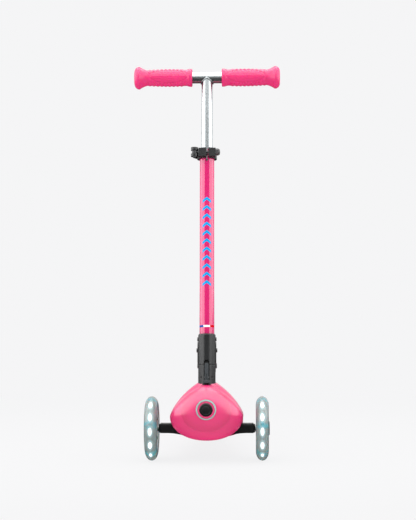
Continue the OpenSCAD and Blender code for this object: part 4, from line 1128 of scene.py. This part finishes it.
class SCOOTER_OT_front_wheels(bpy.types.Operator):
    """Translucent front tyres with painted light where the lights inside shine through"""
    bl_idname = "scooter.front_wheels"
    bl_label = "Front wheels"

    def execute(self, context):
        wheel = context.scene.scooter_wheel
        for side, name in ((-1, "left"), (1, "right")):
            centre = Vector((side * TRACK / 2 * MM, FRONT_AXLE.y, FRONT_R * MM))
            tint = finish(f"Clear tyre {name}", tuple(wheel.tyre), 0.30, (1200.0, 0.12), 0.00008,
                          (0.0006, 0.1), dust=0.03, scratch=0.1, coat=(0.25, 1.5, 0.12), subsurface=0.25,
                          extra=lit_tyre(centre, wheel.strength, tuple(wheel.glow)))
            piece(f"clear_tyre_{name}", f"{name}_wheel", "clear_tyre",
                  [lathe(tyre_outline(FRONT_R - 0.16, CORE_R + 0.02, TYRE_W), 192, closed=True)],
                  Matrix.Translation(centre) @ Matrix.Scale(MM, 4) @ ALONG_X, (f"tyre_{name}",),
                  material=tint)
        return {"FINISHED"}


class SCOOTER_OT_rear_wheel(bpy.types.Operator):
    """Rear tyre"""
    bl_idname = "scooter.rear_wheel"
    bl_label = "Rear wheel"

    def execute(self, context):
        outline = tyre_outline(REAR_R - 0.16, REAR_CORE_R + 0.02, TYRE_W)
        piece("small_tyre", "rear_wheel", "rear_tyre", [lathe(outline, 160, closed=True)],
              REAR_AXLE @ ALONG_X, ("rear_tyre",))
        return {"FINISHED"}


class SCOOTER_OT_frame_finish(bpy.types.Operator):
    """Finishes for the hard pieces that keep the frame's own shapes"""
    bl_idname = "scooter.frame_finish"
    bl_label = "Hard pieces"

    def execute(self, context):
        looks = finishes()
        looks["latch"] = finish("Black nylon latch", (0.016, 0.020, 0.023), 0.42, (1500.0, 0.3), 0.00006,
                                (0.0012, 0.1), worn=(0.05, 0.05, 0.052), dust=0.0, scratch=0.06, drift=0.05)
        slots = {part["node"]: part["material_slot"] for part in frame["record"]["subparts"]}
        slots["fold_latch"] = "latch"
        for name, obj in NODES.items():
            slot = slots[name]
            obj.data.materials.clear()
            obj.data.materials.append(looks.get(slot) or looks["rear_tyre"])
        return {"FINISHED"}


class SCOOTER_OT_stage(bpy.types.Operator):
    """Pale floor, soft studio light and the camera"""
    bl_idname = "scooter.stage"
    bl_label = "Stage"

    def execute(self, context):
        stage, scene = context.scene.scooter_stage, context.scene
        def flat(name, corners):
            mesh = bpy.data.meshes.new(name)
            mesh.from_pydata(corners, [], [(0, 1, 2, 3)])
            obj = bpy.data.objects.new(name, mesh)
            scene.collection.objects.link(obj)
            mat = bpy.data.materials.new(name)
            mat.use_nodes = True
            mat.node_tree.nodes.clear()
            mesh.materials.append(mat)
            net = Net(mat.node_tree)
            return obj, net, net.add("ShaderNodeOutputMaterial")

        def grey(value):
            return (value, value, value, 1.0)

        # the floor looks as bright as the backdrop, but for a faint shadow near the scooter
        pale, far = tuple(stage.floor), 14
        _, net, out = flat("floor", [(-far, -far, -0.0002), (far, -far, -0.0002), (far, far, -0.0002),
                                     (-far, far, -0.0002)])
        ray = net.add("ShaderNodeLightPath").outputs
        where = net.add("ShaderNodeTexCoord").outputs["Object"]
        away = net.add("ShaderNodeVectorMath", {0: where}, operation="LENGTH").outputs["Value"]
        near = net.maths("MULTIPLY", net.span(away, 1.3, 0.3), 0.08)
        even_glow = net.add("ShaderNodeEmission", {"Color": (*pale, 1.0)}).outputs[0]
        shaded = net.add("ShaderNodeBsdfDiffuse", {"Color": grey(0.40)}).outputs[0]
        seen = net.add("ShaderNodeMixShader", {0: near, 1: even_glow, 2: shaded}).outputs[0]
        thrown = net.mix(ray["Is Glossy Ray"], grey(2.7), grey(0.04))
        bounce = net.add("ShaderNodeEmission", {"Color": thrown})
        whole = net.add("ShaderNodeMixShader", {0: ray["Is Camera Ray"], 1: bounce.outputs[0], 2: seen})
        net.tree.links.new(whole.outputs[0], out.inputs[0])

        # a grey card before the scooter, seen only in what shines
        card, net, out = flat("grey card", [(-2.6, -3.6, -0.4), (2.6, -3.6, -0.4), (2.6, -3.6, 1.9),
                                            (-2.6, -3.6, 1.9)])
        glow = net.add("ShaderNodeEmission", {"Color": (1, 1, 1, 1), "Strength": 0.34})
        net.tree.links.new(glow.outputs[0], out.inputs[0])
        card.visible_camera = card.visible_diffuse = card.visible_shadow = False
        card.visible_transmission = card.visible_volume_scatter = False

        world = bpy.data.worlds.new("Studio")
        scene.world = world
        world.use_nodes = True
        world.node_tree.nodes.clear()
        net = Net(world.node_tree)
        ray = net.add("ShaderNodeLightPath").outputs
        heading = net.add("ShaderNodeTexCoord").outputs["Generated"]
        way = net.add("ShaderNodeSeparateXYZ", {0: heading}).outputs
        mirrored = net.mix(net.span(way[1], -0.1, 0.4), grey(0.34), grey(1.0))
        fill = net.mix(ray["Is Glossy Ray"], grey(0.95), mirrored)
        seen = net.mix(ray["Is Camera Ray"], fill, (*pale, 1.0))
        around_it = net.add("ShaderNodeBackground", {"Color": seen})
        net.tree.links.new(around_it.outputs[0], net.add("ShaderNodeOutputWorld").inputs[0])

        def panel(name, at, aim, size, radiance):
            light = bpy.data.lights.new(name, "AREA")
            light.shape, light.size, light.size_y = "RECTANGLE", size[0], size[1]
            light.energy = radiance * math.pi * size[0] * size[1]
            obj = bpy.data.objects.new(name, light)
            scene.collection.objects.link(obj)
            obj.location = at
            obj.rotation_euler = (Vector(aim) - Vector(at)).to_track_quat("-Z", "Y").to_euler()
        panel("top_box", (0.0, 0.1, 2.6), (0, 0.1, 0), (3.0, 3.0), 3.4)
        panel("front_box", (0.0, -3.3, 3.6), (0, 0, 0.2), (5.0, 2.6), 3.2)
        panel("left_box", (-1.6, -0.8, 1.4), (0, -0.8, 1.4), (2.8, 2.2), 3.1)
        panel("right_box", (1.6, -0.8, 1.45), (0, -0.8, 1.45), (2.8, 2.1), 2.8)

        camera = bpy.data.cameras.new("camera")
        camera.lens, camera.sensor_width = stage.lens, 36
        camera.clip_end = 60
        eye = bpy.data.objects.new("camera", camera)
        scene.collection.objects.link(eye)
        aim = Vector((stage.shift, FRONT_AXLE.y, stage.height))
        eye.location = aim + stage.distance * Vector((math.sin(stage.turn), -math.cos(stage.turn), 0))
        eye.rotation_euler = (math.radians(90), stage.roll, stage.turn)
        scene.camera = eye
        scene.view_settings.view_transform = "Standard"
        return {"FINISHED"}


class SCOOTER_PT_panel(bpy.types.Panel):
    """Settings and steps, in the order in which they run"""
    bl_label = "Scooter"
    bl_idname = "SCOOTER_PT_panel"
    bl_space_type = "VIEW_3D"
    bl_region_type = "UI"
    bl_category = "Scooter"

    def draw(self, context):
        for settings, group in zip(SETTINGS, GROUPS):
            column = self.layout.column(align=True)
            for key in group.__annotations__:
                column.prop(getattr(context.scene, settings), key)
        for step in STEPS:
            self.layout.operator(step.bl_idname)


STEPS = (SCOOTER_OT_stage, SCOOTER_OT_frame_finish, SCOOTER_OT_deck_moulding, SCOOTER_OT_deck_ribs,
         SCOOTER_OT_tread_pad, SCOOTER_OT_lock, SCOOTER_OT_springs, SCOOTER_OT_fasteners,
         SCOOTER_OT_tube_marks, SCOOTER_OT_weld, SCOOTER_OT_grips, SCOOTER_OT_front_wheels,
         SCOOTER_OT_rear_wheel)
CLASSES = (*GROUPS, *STEPS, SCOOTER_PT_panel)


def register():
    for cls in CLASSES:
        bpy.utils.register_class(cls)
    for settings, group in zip(SETTINGS, GROUPS):
        setattr(bpy.types.Scene, settings, PointerProperty(type=group))


def unregister():
    for settings in SETTINGS:
        delattr(bpy.types.Scene, settings)
    for cls in reversed(CLASSES):
        bpy.utils.unregister_class(cls)


def main():
    register()
    for step in STEPS:
        family, name = step.bl_idname.split(".")
        getattr(getattr(bpy.ops, family), name)()
    bpy.context.view_layer.update()


if __name__ == "__main__":
    main()
